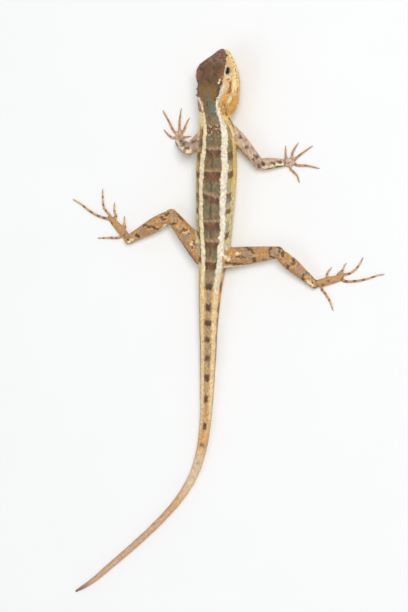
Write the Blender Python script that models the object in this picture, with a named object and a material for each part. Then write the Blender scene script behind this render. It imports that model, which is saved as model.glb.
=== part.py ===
"""A young oriental garden lizard, life size, lying on its belly with its legs spread.

The animal looks along +Y, its right side is +X and the floor is at z = 0. Sizes are in
millimetres until a mesh is written. The origin ends up under the middle of the whole
animal's box.
"""

import math

import bmesh
import bpy
import numpy as np
from mathutils import Vector

MM = 0.001
GAP = 0.3
FLOOR = 0.0
UP = np.array([0.0, 0.0, 1.0])
RIGHT, LEFT = 1.0, -1.0

# Body: one row for each place along the spine, from the nape to the tip of the tail.
# Y, X and height of the spine, half width, rise to the back, fall to the belly, roll.
SPINE = [
    (29.3, 0.2, 7.6, 5.25, 4.4, 4.9, 21.0),
    (27.0, 0.3, 7.1, 5.8, 4.6, 5.0, 14.0),
    (23.5, 0.5, 6.3, 6.2, 4.95, 5.4, 6.0),
    (19.5, 0.45, 5.8, 6.6, 5.4, 5.7, 2.0),
    (12.0, 0.3, 5.6, 7.05, 5.8, 5.85, 0.0),
    (3.0, 0.1, 5.6, 6.9, 5.9, 5.85, 0.0),
    (-5.0, -0.25, 5.5, 6.5, 5.8, 5.75, 0.0),
    (-12.0, -0.6, 5.3, 6.1, 5.5, 5.5, 0.0),
    (-18.0, -0.95, 5.0, 5.6, 5.2, 5.2, 0.0),
    (-22.4, -1.35, 4.6, 4.9, 4.8, 4.7, 0.0),
    (-27.3, -2.0, 4.1, 4.3, 4.3, 4.2, 0.0),
    (-31.5, -2.5, 3.75, 3.95, 3.9, 3.85, 0.0),
    (-38.5, -3.0, 3.3, 3.5, 3.4, 3.4, 0.0),
    (-45.5, -3.4, 2.9, 3.1, 3.0, 3.0, 0.0),
    (-52.5, -3.55, 2.6, 2.85, 2.7, 2.7, 0.0),
    (-59.5, -3.85, 2.35, 2.6, 2.45, 2.45, 0.0),
    (-68.3, -4.2, 2.1, 2.3, 2.2, 2.2, 0.0),
    (-76.3, -4.7, 1.87, 1.98, 1.9, 1.97, 0.0),
    (-87.9, -6.5, 1.6, 1.7, 1.65, 1.7, 0.0),
    (-94.9, -8.7, 1.48, 1.58, 1.55, 1.58, 0.0),
    (-105.7, -15.4, 1.2, 1.3, 1.25, 1.28, 0.0),
    (-114.6, -23.7, 1.12, 1.2, 1.15, 1.2, 0.0),
    (-123.6, -33.6, 1.07, 1.15, 1.1, 1.15, 0.0),
    (-130.2, -41.4, 0.97, 1.05, 1.0, 1.05, 0.0),
    (-134.6, -46.6, 0.84, 0.92, 0.88, 0.92, 0.0),
    (-137.4, -50.6, 0.67, 0.73, 0.7, 0.73, 0.0),
    (-139.2, -53.8, 0.45, 0.5, 0.48, 0.5, 0.0),
]
BODY_SIDES = 24
TAIL_SIDES = 16
TORSO_STEP = 1.9
TAIL_STEP = 3.0
SECTION_POWER = 2.25

# Where the body is parted, as Y of the spine, and the node in front of each cut
NECK_BACK = 24.2
CUTS = [
    ("torso", NECK_BACK, -23.8),
    ("tail_base", -23.8, -49.0),
    ("tail_front", -49.0, -72.0),
    ("tail_middle", -72.0, -96.0),
    ("tail_rear", -96.0, -117.0),
    ("tail_tip", -117.0, -139.2),
]

# Head: one row for each place behind the tip of the snout, right half, about its axis.
# Distance back, crown height, brow half width and height, hollow under the brow, cheek half
# width and height, lip half width, mouth height, mouth groove, jaw half width and height, chin.
HEAD_LENGTH = 22.0
HEAD = [
    (0.0, -0.6, 0.9, -0.75, 0.0, 1.1, -1.2, 1.0, -1.8, 0.12, 0.9, -2.15, -2.4),
    (0.5, 0.0, 1.4, -0.25, 0.05, 1.95, -0.95, 1.95, -1.8, 0.3, 1.9, -2.4, -2.9),
    (2.0, 1.0, 2.5, 0.7, 0.12, 3.0, -0.5, 3.45, -1.75, 0.35, 3.35, -2.7, -3.5),
    (4.1, 2.35, 4.35, 2.2, 0.3, 4.3, 0.2, 5.0, -1.85, 0.35, 4.9, -3.1, -4.2),
    (6.0, 3.4, 5.75, 3.5, 0.5, 5.2, 0.6, 6.0, -2.0, 0.35, 5.9, -3.5, -4.7),
    (8.0, 4.15, 6.35, 4.3, 0.6, 5.8, 0.5, 6.8, -2.2, 0.35, 6.7, -3.9, -5.1),
    (10.5, 4.5, 6.25, 4.25, 0.5, 6.4, 0.3, 7.45, -2.5, 0.3, 7.3, -4.2, -5.4),
    (13.5, 4.55, 5.65, 3.85, 0.15, 6.9, 0.3, 7.75, -2.8, 0.2, 7.6, -4.4, -5.6),
    (16.5, 4.45, 5.15, 3.5, -0.1, 7.1, 0.3, 7.75, -2.9, 0.0, 7.6, -4.5, -5.6),
    (19.8, 4.4, 4.6, 3.25, -0.3, 6.8, 0.3, 7.35, -2.7, 0.0, 7.15, -4.3, -5.5),
    (22.0, 4.35, 4.0, 3.05, -0.4, 5.7, 0.5, 6.0, -2.1, 0.0, 5.7, -3.6, -5.1),
]
HEAD_STATIONS = [0.0, 0.25, 0.6, 1.2, 2.0, 3.0, 4.1, 5.0, 6.0, 7.0, 8.0, 9.2, 10.5, 12.0, 13.5, 15.0]
HEAD_STATIONS += [16.5, 18.2, 19.8, 21.1, 22.0]
HEAD_YAW, HEAD_PITCH, HEAD_ROLL = math.radians(10.0), math.radians(5.0), math.radians(25.0)
HEAD_BACK = np.array([-0.5, 29.6, 7.8])

# Features of the head: distance behind the snout, out from the middle, up from the axis
EYE_AT = (7.2, 4.45, 1.35)
EYE_RADIUS = 1.65
LID_RADII = (2.6, 2.25, 2.1)
LID_OPENING = (1.35, 0.9)
LID_TILT = math.radians(16.0)
EAR_AT = (16.8, 6.75, -0.2)
EAR_CUP_RADIUS, EAR_CUP_DEPTH = 1.2, 0.75
EARDRUM_THICKNESS = 0.5
NOSTRIL_AT = (1.7, 3.1, 0.35)
NOSTRIL_RADIUS = 0.33
TEMPLE_SPINES = [(14.4, 5.5, 3.2), (16.4, 5.4, 3.2)]
TEMPLE_SPINE_HEIGHT = 1.0

# Crest of short spines down the nape and back
CREST_FRONT, CREST_BACK = 28.6, -6.0
CREST_PITCH = 1.55
CREST_TALLEST, CREST_LOWEST = 1.25, 0.45
CREST_LEAN = 0.75
CREST_SUNK = 0.5

# Legs: joints, then the radius along each length as (share of the length, radius)
LIMB_SIDES = 14
UPPER_ARM = [(0.0, 1.9), (0.3, 2.25), (0.7, 2.05), (1.0, 1.85)]
FOREARM = [(0.0, 1.85), (0.3, 2.05), (0.75, 1.7), (1.0, 1.45)]
THIGH = [(0.0, 3.7), (0.3, 3.4), (0.65, 2.75), (1.0, 2.1)]
SHANK = [(0.0, 2.05), (0.35, 2.4), (0.75, 1.85), (1.0, 1.5)]
LIMBS = {
    "arm_right": {
        "joints": [(5.6, 23.9, 4.9), (15.1, 11.8, 3.5), (22.6, 12.2, 1.75)],
        "names": ("upper_arm_right", "forearm_right", "hand_right"),
        "girth": 1.0,
    },
    "arm_left": {
        "joints": [(-2.3, 23.8, 5.0), (-8.7, 16.7, 8.8), (-14.3, 20.3, 2.0)],
        "names": ("upper_arm_left", "forearm_left", "hand_left"),
        "girth": 1.05,
    },
    "leg_right": {
        "joints": [(2.4, -20.6, 4.8), (22.1, -18.7, 5.2), (34.2, -29.7, 2.1)],
        "names": ("thigh_right", "shank_right", "foot_right"),
        "girth": 1.0,
    },
    "leg_left": {
        "joints": [(-2.7, -21.7, 4.8), (-16.2, -5.5, 5.2), (-33.0, -13.6, 2.1)],
        "names": ("thigh_left", "shank_left", "foot_left"),
        "girth": 1.1,
    },
}

# Palm or sole: end of its middle line, half widths and half heights from the joint to the toes
PALM = {"widths": (1.25, 1.6, 1.35), "heights": (1.15, 0.9, 0.62)}
SOLE = {"widths": (1.35, 1.5, 1.15), "heights": (1.3, 1.05, 0.7)}
PALM_END_RIGHT, PALM_END_LEFT = (26.2, 12.5), (-15.0, 23.2)
SOLE_END_RIGHT, SOLE_END_LEFT = (43.2, -27.5), (-40.2, -6.2)
DIGIT_RADII = [(0.0, 0.66), (0.15, 0.58), (0.6, 0.5), (1.0, 0.42)]
DIGIT_SIDES = 8
DIGIT_ARCH = 0.35
DIGIT_PRESSED = 0.8
SOLE_PRESSED = 0.1
DIGIT_STEP = 1.5
CLAW_LENGTH, CLAW_RADIUS, CLAW_TIP = 1.25, 0.3, 0.07
# Digits from the inner to the outer one, each by points on the floor from its root to the tip
DIGITS = {
    "hand_right": [
        [(23.9, 13.4), (23.5, 18.4)],
        [(25.9, 14.3), (28.2, 19.4)],
        [(26.9, 13.3), (30.6, 16.1), (33.4, 18.0)],
        [(26.9, 11.7), (31.2, 11.1), (35.8, 9.9)],
        [(25.2, 10.6), (27.7, 7.9), (28.5, 5.0)],
    ],
    "hand_left": [
        [(-13.4, 22.0), (-10.3, 22.5)],
        [(-13.4, 24.0), (-12.3, 26.8), (-11.0, 29.1)],
        [(-14.8, 24.3), (-14.6, 28.6), (-14.1, 32.6)],
        [(-16.0, 23.6), (-18.3, 27.4), (-21.2, 32.1)],
        [(-16.2, 21.9), (-19.6, 23.9), (-20.8, 25.4)],
    ],
    "foot_right": [
        [(38.2, -26.9), (39.9, -23.6)],
        [(41.5, -26.8), (43.5, -25.4), (44.1, -23.7), (45.2, -22.3)],
        [(43.4, -26.8), (45.8, -26.2), (48.3, -24.6), (49.7, -22.7), (50.9, -20.3)],
        [(43.3, -28.1), (47.5, -28.7), (50.0, -28.4), (53.3, -27.6), (56.3, -26.6), (58.3, -26.5)],
        [(36.3, -31.2), (37.5, -32.6), (38.6, -34.1), (39.7, -36.6), (40.4, -39.0)],
    ],
    "foot_left": [
        [(-35.0, -10.3), (-35.2, -8.2), (-35.4, -4.9)],
        [(-38.4, -5.8), (-39.1, -3.2), (-39.1, -0.1)],
        [(-40.6, -5.1), (-42.8, -2.4), (-43.4, 0.5), (-43.6, 4.8)],
        [(-41.5, -6.1), (-44.9, -5.1), (-48.0, -3.4), (-51.9, -0.6), (-55.2, 1.3)],
        [(-36.5, -12.4), (-41.0, -12.8), (-45.9, -12.9)],
    ],
}

# Colours as the skin shows them, linear, with roughness
FINISHES = {
    "back_skin": ((0.23, 0.17, 0.1), 0.6),
    "head_skin": ((0.33, 0.18, 0.075), 0.55),
    "leg_skin": ((0.4, 0.235, 0.13), 0.6),
    "tail_skin": ((0.55, 0.33, 0.13), 0.6),
    "eye": ((0.015, 0.012, 0.012), 0.1),
    "eardrum": ((0.5, 0.45, 0.3), 0.45),
}


def clear_scene():
    for obj in list(bpy.data.objects):
        bpy.data.objects.remove(obj)


def unit(vector):
    return vector / np.linalg.norm(vector)


def smooth_rows(rows, at):
    """Values of the rows between their keys, the first column, on a smooth curve."""
    rows = np.array(rows, float)
    rows = rows[rows[:, 0].argsort()]
    keys, values = rows[:, 0], rows[:, 1:]
    slopes = np.gradient(values, keys, axis=0)
    at = np.clip(np.atleast_1d(np.asarray(at, float)), keys[0], keys[-1])
    i = np.clip(np.searchsorted(keys, at, side="right") - 1, 0, len(keys) - 2)
    span = (keys[i + 1] - keys[i])[:, None]
    t = ((at - keys[i]) / (keys[i + 1] - keys[i]))[:, None]
    return (
        (2 * t**3 - 3 * t**2 + 1) * values[i]
        + (t**3 - 2 * t**2 + t) * span * slopes[i]
        + (3 * t**2 - 2 * t**3) * values[i + 1]
        + (t**3 - t**2) * span * slopes[i + 1]
    )


def curve_through(points, step):
    """Points about one step apart on a smooth curve through the given ones."""
    points = np.array(points, float)
    lengths = np.linalg.norm(np.diff(points, axis=0), axis=1)
    along = np.concatenate([[0.0], np.cumsum(lengths)])
    count = max(2, round(along[-1] / step) + 1)
    rows = np.column_stack([along, points])
    return smooth_rows(rows, np.linspace(0.0, along[-1], count))


def frame_along(forward, roll=0.0):
    """Side and up of a cross-section that looks along forward, rolled to its left."""
    side = unit(np.cross(forward, UP))
    up = np.cross(side, forward)
    return (
        side * math.cos(roll) + up * math.sin(roll),
        up * math.cos(roll) - side * math.sin(roll),
    )


def make_mesh(name, rings):
    """A closed mesh lofted through rings of points, with flat ends."""
    bm = bmesh.new()
    loops = [[bm.verts.new(Vector(point) * MM) for point in ring] for ring in rings]
    for one, two in zip(loops, loops[1:]):
        for i in range(len(one)):
            bm.faces.new((one[i - 1], one[i], two[i], two[i - 1]))
    bm.faces.new(loops[0])
    bm.faces.new(loops[-1])
    bmesh.ops.recalc_face_normals(bm, faces=bm.faces)
    mesh = bpy.data.meshes.new(name)
    bm.to_mesh(mesh)
    bm.free()
    return mesh


def make_object(name, mesh):
    obj = bpy.data.objects.new(name, mesh)
    bpy.context.scene.collection.objects.link(obj)
    return obj


def ring(centre, side, up, halves, count, power=2.0):
    """Points of one cross-section. halves are its half width, rise and fall."""
    points = []
    for i in range(count):
        turn = 2 * math.pi * (i + 0.5) / count
        s, c = math.sin(turn), math.cos(turn)
        across = math.copysign(abs(s) ** (2 / power), s) * halves[0]
        high = math.copysign(abs(c) ** (2 / power), c)
        high *= halves[1] if high > 0 else halves[2]
        points.append(centre + side * across + up * high)
    return points


def body_section(y, grow, count):
    """The body's cross-section where its spine is at y, grown all round."""
    x, z, width, rise, fall, roll = smooth_rows(SPINE, y)[0]
    reach = 0.2
    before, after = smooth_rows(SPINE, [y - reach, y + reach])[:, :2]
    span = min(y + reach, SPINE[0][0]) - max(y - reach, SPINE[-1][0])
    forward = unit(np.array([after[0] - before[0], span, after[1] - before[1]]))
    side, up = frame_along(forward, math.radians(roll))
    halves = (width + grow, rise + grow, fall + grow)
    return ring(np.array([x, y, z]), side, up, halves, count, SECTION_POWER)


def on_floor(points):
    return [np.array([p[0], p[1], max(p[2], FLOOR)]) for p in points]


def head_axes():
    forward = np.array(
        [
            math.sin(HEAD_YAW) * math.cos(HEAD_PITCH),
            math.cos(HEAD_YAW) * math.cos(HEAD_PITCH),
            math.sin(HEAD_PITCH),
        ]
    )
    side, up = frame_along(forward, HEAD_ROLL)
    return forward, side, up


def in_head(back, out, high):
    """The place of a point given by its distance behind the snout, out and up."""
    forward, side, up = head_axes()
    return HEAD_BACK + forward * (HEAD_LENGTH - back) + side * out + up * high


def head_half(row):
    """The right half of a head section, from the middle of the crown to the chin."""
    (crown, brow, brow_z, hollow, cheek, cheek_z) = row[:6]
    (lip, mouth_z, groove, jaw, jaw_z, chin) = row[6:]
    edge = min(0.28, 0.12 * lip)
    drop = brow_z - cheek_z
    return [
        (0.0, crown),
        (0.3 * brow, crown - 0.02 * (crown - brow_z)),
        (0.62 * brow, crown - 0.3 * (crown - brow_z)),
        (0.88 * brow, crown - 0.7 * (crown - brow_z)),
        (brow - 0.06, brow_z - 0.03 * drop),
        (brow, brow_z - 0.12 * drop),
        (brow - hollow, brow_z - 0.36 * drop),
        (0.5 * (brow - hollow + cheek), brow_z - 0.68 * drop),
        (cheek, cheek_z),
        (0.5 * (cheek + lip) + 0.06, 0.5 * (cheek_z + mouth_z + edge)),
        (lip, mouth_z + edge),
        (lip - groove, mouth_z),
        (lip - 0.08 * edge, mouth_z - edge),
        (0.35 * lip + 0.65 * jaw, 0.45 * (mouth_z - edge) + 0.55 * jaw_z),
        (0.93 * jaw, 0.75 * jaw_z + 0.25 * chin),
        (0.7 * jaw, 0.35 * jaw_z + 0.65 * chin),
        (0.38 * jaw, 0.1 * jaw_z + 0.9 * chin),
        (0.0, chin),
    ]


def head_ring(back):
    half = head_half(smooth_rows(HEAD, back)[0])
    whole = half + [(-out, high) for out, high in half[-2:0:-1]]
    return [in_head(back, out, high) for out, high in whole]


def ball(centre, axes, radii, segments=16, rings=10):
    """An ellipsoid as lofted rings about its first axis."""
    loops = []
    for i in range(rings):
        turn = math.pi * (i + 0.5) / rings
        middle = centre - axes[0] * radii[0] * math.cos(turn)
        wide = math.sin(turn)
        loops.append(
            ring(middle, axes[1], axes[2], (radii[1] * wide, *[radii[2] * wide] * 2), segments)
        )
    return loops


def rod(start, end, radii, count, up=UP):
    """A straight round or oval rod. radii are the half width and half height."""
    forward = unit(end - start)
    side = unit(np.cross(forward, up))
    top = np.cross(side, forward)
    halves = (radii[0], radii[1], radii[1])
    return [ring(middle, side, top, halves, count) for middle in (start, end)]


def spine_rings(root, out, back, height, length, width):
    """A small spine, pressed flat from the sides, which leans back from its root."""
    side = unit(np.cross(out, back))
    rings = []
    for share in (0.0, 0.55, 1.0):
        full = (1.0 - share) ** 0.8 + 0.08
        middle = root + out * (height * share) + back * (CREST_LEAN * height * share**1.5)
        halves = (0.5 * width * full, 0.5 * length * full, 0.5 * length * full)
        rings.append(ring(middle, side, back, halves, 6))
    return rings


def crest_spines(front, back):
    """Spines of the crest whose roots lie on the spine between two values of Y."""
    spines = []
    count = int((CREST_FRONT - CREST_BACK) / CREST_PITCH) + 1
    for i in range(count):
        y = CREST_FRONT - i * CREST_PITCH
        if not back + 0.7 < y < front - 0.7:
            continue
        share = i / (count - 1)
        height = CREST_TALLEST + (CREST_LOWEST - CREST_TALLEST) * share**0.6
        x, z, _, rise, _, roll = smooth_rows(SPINE, y)[0]
        tilt = math.radians(roll)
        out = np.array([-math.sin(tilt), 0.0, math.cos(tilt)])
        root = np.array([x, y, z]) + out * (rise - CREST_SUNK)
        tall = height + CREST_SUNK
        spines.append(spine_rings(root, out, np.array([0.0, -1.0, 0.0]), tall, 1.3, 0.8))
    return spines


def joined(name, solids, cutters=(), solver="EXACT"):
    """One closed mesh from overlapping lofted solids, with the cutters taken away."""
    base = make_object(name, make_mesh(name, solids[0]))
    for operation, pieces in (("UNION", solids[1:]), ("DIFFERENCE", cutters)):
        if not pieces:
            continue
        group = bpy.data.collections.new(f"{name} {operation.lower()}")
        bpy.context.scene.collection.children.link(group)
        for rings in pieces:
            group.objects.link(bpy.data.objects.new("tool", make_mesh("tool", rings)))
        boolean = base.modifiers.new(operation.lower(), "BOOLEAN")
        boolean.operation = operation
        boolean.operand_type = "COLLECTION"
        boolean.collection = group
        boolean.solver = solver
        graph = bpy.context.evaluated_depsgraph_get()
        mesh = bpy.data.meshes.new_from_object(base.evaluated_get(graph))
        base.modifiers.clear()
        base.data = mesh
        for tool in list(group.objects):
            bpy.data.objects.remove(tool)
        bpy.data.collections.remove(group)
    tidy(base.data)
    return base


def tidy(mesh):
    """Merges points that a cut left together and keeps the largest closed surface."""
    bm = bmesh.new()
    bm.from_mesh(mesh)
    bmesh.ops.remove_doubles(bm, verts=bm.verts, dist=0.004 * MM)
    bmesh.ops.dissolve_degenerate(bm, edges=bm.edges, dist=0.004 * MM)
    for vert in bm.verts:
        vert.co.z = max(vert.co.z, FLOOR * MM)
    left, parts = set(bm.verts), []
    while left:
        part, edge = set(), [left.pop()]
        while edge:
            vert = edge.pop()
            part.add(vert)
            near = {e.other_vert(vert) for e in vert.link_edges} & left
            left -= near
            edge.extend(near)
        parts.append(part)
    largest = max(parts, key=len)
    bmesh.ops.delete(bm, geom=[v for v in bm.verts if v not in largest], context="VERTS")
    bmesh.ops.triangulate(bm, faces=bm.faces)
    bm.to_mesh(mesh)
    bm.free()


def body_rings(front, back, step, count, grow=0.0):
    """Sections of the body between two values of Y, closer where it bends."""
    length = curve_length(front, back)
    places = np.linspace(front, back, max(3, round(length / step) + 1))
    return [body_section(y, grow, count) for y in places]


def curve_length(front, back):
    at = np.linspace(back, front, 60)
    xz = smooth_rows(SPINE, at)[:, :2]
    points = np.column_stack([xz[:, 0], at, xz[:, 1]])
    return float(np.linalg.norm(np.diff(points, axis=0), axis=1).sum())


def build_body():
    """The neck, the torso and the lengths of the tail, with a thin gap at each cut."""
    forward, side, up = head_axes()
    halves = tuple(SPINE[0][3:6])
    first = ring(HEAD_BACK - forward * GAP, side, up, halves, BODY_SIDES, SECTION_POWER)
    neck = [first] + body_rings(28.2, NECK_BACK + GAP / 2, 1.2, BODY_SIDES)
    nodes = [joined("neck", [neck] + crest_spines(HEAD_BACK[1], NECK_BACK))]
    for name, front, back in CUTS:
        torso = name == "torso"
        count = BODY_SIDES if torso else TAIL_SIDES
        step = TORSO_STEP if torso else TAIL_STEP
        end = back + (GAP / 2 if name != "tail_tip" else 0.0)
        rings = body_rings(front - GAP / 2, end, step, count)
        rings = [on_floor(points) for points in rings]
        spines = crest_spines(front, back) if torso else []
        nodes.append(joined(name, [rings] + spines))
    return nodes


def build_head():
    """The head with its lids, temple spines, eye sockets, nostrils and ear cups."""
    forward, side, up = head_axes()
    solids = [[head_ring(back) for back in HEAD_STATIONS]]
    cutters = []
    for hand in (RIGHT, LEFT):
        out = side * hand
        eye = in_head(EYE_AT[0], EYE_AT[1] * hand, EYE_AT[2])
        solids.append(ball(eye - out * 0.2, (forward, out, up), LID_RADII))
        cutters.append(ball(eye, (forward, out, up), [EYE_RADIUS + GAP] * 3))
        gaze = out * math.cos(LID_TILT) + up * math.sin(LID_TILT)
        cutters.append(rod(eye, eye + gaze * 3.5, LID_OPENING, 14, up))
        ear = in_head(EAR_AT[0], EAR_AT[1] * hand, EAR_AT[2])
        radii = [EAR_CUP_RADIUS] * 2
        cutters.append(rod(ear - out * EAR_CUP_DEPTH, ear + out * 3.0, radii, 12, up))
        nostril = in_head(NOSTRIL_AT[0], NOSTRIL_AT[1] * hand, NOSTRIL_AT[2])
        radii = [NOSTRIL_RADIUS] * 2
        cutters.append(rod(nostril - out * 0.5, nostril + out, radii, 8, up))
        for back, width, high in TEMPLE_SPINES:
            lean = unit(out + up * 0.8)
            root = in_head(back, width * hand, high) - lean * CREST_SUNK
            tall = TEMPLE_SPINE_HEIGHT + CREST_SUNK
            solids.append(spine_rings(root, lean, -forward, tall, 0.9, 0.8))
    return joined("head", solids, cutters)


def build_eyes_and_ears():
    """Both eyeballs and both eardrums, each clear of the head by the thin gap."""
    forward, side, up = head_axes()
    nodes = []
    for hand, word in ((RIGHT, "right"), (LEFT, "left")):
        out = side * hand
        eye = in_head(EYE_AT[0], EYE_AT[1] * hand, EYE_AT[2])
        rings = ball(eye, (out, up, forward), [EYE_RADIUS] * 3, 16, 10)
        nodes.append(joined(f"eye_{word}", [rings]))
        ear = in_head(EAR_AT[0], EAR_AT[1] * hand, EAR_AT[2])
        inner = ear - out * (EAR_CUP_DEPTH - GAP)
        radii = [EAR_CUP_RADIUS - GAP] * 2
        rings = rod(inner, inner + out * EARDRUM_THICKNESS, radii, 12, up)
        nodes.append(joined(f"eardrum_{word}", [rings]))
    return nodes


def limb_length(start, end, profile, grow=0.0, count=LIMB_SIDES):
    """A length of a leg with a round end at each joint."""
    start, end = np.array(start), np.array(end)
    forward = unit(end - start)
    side, up = frame_along(forward)
    length = np.linalg.norm(end - start)
    shares = np.linspace(0.0, 1.0, 8)
    radii = smooth_rows(profile, shares)[:, 0] + grow
    places = [(length * share, radius) for share, radius in zip(shares, radii)]
    for turn in (25.0, 50.0, 75.0):
        bulge, narrowed = math.sin(math.radians(turn)), math.cos(math.radians(turn))
        places.insert(0, (-radii[0] * bulge, radii[0] * narrowed))
        places.append((length + radii[-1] * bulge, radii[-1] * narrowed))
    return [ring(start + forward * at, side, up, [r] * 3, count) for at, r in places]


def digit_rings(points, root):
    """A toe with its claw: from inside the sole, over low knuckles, to a curved point."""
    flat = curve_through([root] + list(points), DIGIT_STEP)
    steps = np.linalg.norm(np.diff(flat, axis=0), axis=1)
    along = np.concatenate([[0.0], np.cumsum(steps)])
    pad = along[-1] - CLAW_LENGTH
    places = np.linspace(0.0, pad, max(4, round(pad / DIGIT_STEP) + 1))
    middles = smooth_rows(np.column_stack([along, flat]), places)
    radii = smooth_rows(DIGIT_RADII, places / pad)[:, 0]
    heights = radii * DIGIT_PRESSED + DIGIT_ARCH * np.sin(math.pi * places / pad) ** 3
    rings = []
    for i, (middle, radius, height) in enumerate(zip(middles, radii, heights)):
        ahead = middles[min(i + 1, len(middles) - 1)] - middles[max(i - 1, 0)]
        side, up = frame_along(unit(np.array([*ahead, 0.0])))
        centre = np.array([*middle, height])
        rings.append(ring(centre, side, up, [radius] * 3, DIGIT_SIDES))
    forward = unit(np.array([*(middles[-1] - middles[-2]), 0.0]))
    side, up = frame_along(forward)
    pad_end = np.array([*middles[-1], heights[-1]])
    for reach, radius, drop in ((0.12, CLAW_RADIUS, 0.0), (0.6, 0.2, 0.03), (1.0, CLAW_TIP, 0.2)):
        centre = pad_end + forward * CLAW_LENGTH * reach - up * drop
        rings.append(ring(centre, side, up, [radius] * 3, DIGIT_SIDES))
    return [on_floor(points) for points in rings]


def foot_rings(joint, end, shape):
    """The palm or sole, from the joint to where the longest digits part."""
    joint = np.array(joint)
    end = np.array([*end, shape["heights"][2]])
    forward = unit(np.array([*(end - joint)[:2], 0.0]))
    side, up = frame_along(forward)
    shares = np.array([0.0, 0.25, 0.5, 0.75, 1.0])
    rows = np.column_stack([[0.0, 0.5, 1.0], shape["widths"], shape["heights"]])
    sizes = smooth_rows(rows, shares)
    rings = []
    for share, (width, height) in zip(shares, sizes):
        centre = joint + (end - joint) * share
        centre[2] = height - SOLE_PRESSED + (joint[2] - sizes[0][1]) * (1.0 - share) ** 3
        rings.append(ring(centre, side, up, (width, height, height), 12))
    tip = end + forward * 0.6
    tip[2] = shape["heights"][2] * 0.75
    rings.append(ring(tip, side, up, (0.5 * sizes[-1][0], 0.4, 0.4), 12))
    return [on_floor(points) for points in rings]


def build_limb(limb, profiles, shape, end):
    """A whole leg: each length gives way to the one that it grows from."""
    names, joints = limb["names"], limb["joints"]
    body = body_rings(SPINE[0][0], -40.0, 2.4, BODY_SIDES, GAP)
    upper, lower = ([(at, r * limb["girth"]) for at, r in p] for p in profiles)
    solids = [
        [limb_length(joints[0], joints[1], upper)],
        [limb_length(joints[1], joints[2], lower)],
        [foot_rings(joints[2], end, shape)],
    ]
    middle = np.array([joints[2][:2], end])
    for points in DIGITS[names[2]]:
        root = nearest(np.array(points[0]), *middle)
        solids[2].append(digit_rings(points, 0.5 * root + 0.5 * np.array(points[0])))
    cutters = [
        [body],
        [limb_length(joints[0], joints[1], upper, GAP)],
        [limb_length(joints[1], joints[2], lower, GAP)],
    ]
    nodes = [joined(n, s, c) for n, s, c in zip(names[:2], solids, cutters)]
    # The exact solver loses the whole hand where the wrist is cut from it
    nodes.append(joined(names[2], solids[2], cutters[2], "MANIFOLD"))
    return nodes


def nearest(point, start, end):
    """The point of a straight line that is nearest to the given one."""
    along = end - start
    share = np.clip((point - start) @ along / (along @ along), 0.12, 0.95)
    return start + along * share


def build_limbs():
    arms, legs = (UPPER_ARM, FOREARM), (THIGH, SHANK)
    return (
        build_limb(LIMBS["arm_right"], arms, PALM, PALM_END_RIGHT)
        + build_limb(LIMBS["arm_left"], arms, PALM, PALM_END_LEFT)
        + build_limb(LIMBS["leg_right"], legs, SOLE, SOLE_END_RIGHT)
        + build_limb(LIMBS["leg_left"], legs, SOLE, SOLE_END_LEFT)
    )


def finish_of(name):
    """The name of the finish that a node has."""
    if name.startswith("eye_"):
        return "eye"
    if name.startswith("eardrum_"):
        return "eardrum"
    if name.startswith("tail_"):
        return "tail_skin"
    if name in ("neck", "torso"):
        return "back_skin"
    return "head_skin" if name == "head" else "leg_skin"


def make_materials():
    made = {}
    for name, (colour, roughness) in FINISHES.items():
        material = bpy.data.materials.new(name)
        material.use_nodes = True
        shader = material.node_tree.nodes["Principled BSDF"]
        shader.inputs["Base Color"].default_value = (*colour, 1.0)
        shader.inputs["Roughness"].default_value = roughness
        shader.inputs["Metallic"].default_value = 0.0
        made[name] = material
    return made


def place_on_origin(nodes):
    """Hangs the nodes on one empty, moved so that the animal's box stands on the origin."""
    corners = np.array([v.co for node in nodes for v in node.data.vertices])
    low, high = corners.min(axis=0), corners.max(axis=0)
    holder = bpy.data.objects.new("lizard", None)
    bpy.context.scene.collection.objects.link(holder)
    holder.location = (-(low[0] + high[0]) / 2, -(low[1] + high[1]) / 2, -low[2])
    for node in nodes:
        node.parent = holder


def main():
    clear_scene()
    nodes = build_body() + [build_head()] + build_eyes_and_ears() + build_limbs()
    materials = make_materials()
    for node in nodes:
        node.data.materials.clear()
        node.data.materials.append(materials[finish_of(node.name)])
        node.data.shade_smooth()
        node.data.set_sharp_from_angle(angle=math.radians(50.0))
    place_on_origin(nodes)


main()
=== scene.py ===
import math

import bmesh
import bpy
import numpy as np
from mathutils import Matrix, Vector
from mathutils.bvhtree import BVHTree
from mathutils.kdtree import KDTree


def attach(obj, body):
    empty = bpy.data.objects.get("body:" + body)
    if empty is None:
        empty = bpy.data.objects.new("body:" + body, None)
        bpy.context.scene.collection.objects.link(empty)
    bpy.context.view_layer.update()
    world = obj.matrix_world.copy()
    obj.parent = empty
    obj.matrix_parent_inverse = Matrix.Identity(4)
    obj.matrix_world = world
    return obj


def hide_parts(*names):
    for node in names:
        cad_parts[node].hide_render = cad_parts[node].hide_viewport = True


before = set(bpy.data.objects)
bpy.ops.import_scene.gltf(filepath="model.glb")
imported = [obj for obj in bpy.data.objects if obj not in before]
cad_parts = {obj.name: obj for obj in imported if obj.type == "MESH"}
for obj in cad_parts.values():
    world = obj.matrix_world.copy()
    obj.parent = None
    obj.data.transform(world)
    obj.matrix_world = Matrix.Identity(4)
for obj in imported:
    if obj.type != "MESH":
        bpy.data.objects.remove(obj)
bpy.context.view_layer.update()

# The view. The animal was seen from above its back by a lens leaning 17 degrees to its right,
# a little behind the hips. Its own measure is in millimetres from the floor under mid-trunk,
# with +Y to the head and +X to its right, and ZERO is where that point lies in the frame.
MM = 0.001
ZERO = np.array([-1.53, 44.11, 0.0])
VIEW_LEAN = math.radians(17.0)
VIEW_MIDDLE = (-5.9, -37.1, 0.0)
PIXEL_SIZE, PHOTO_HEIGHT = 0.35, 612


def place(point):
    """A point of the animal's own measure in the frame, in metres."""
    return Vector(np.asarray(point, float) + ZERO) * MM


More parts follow.
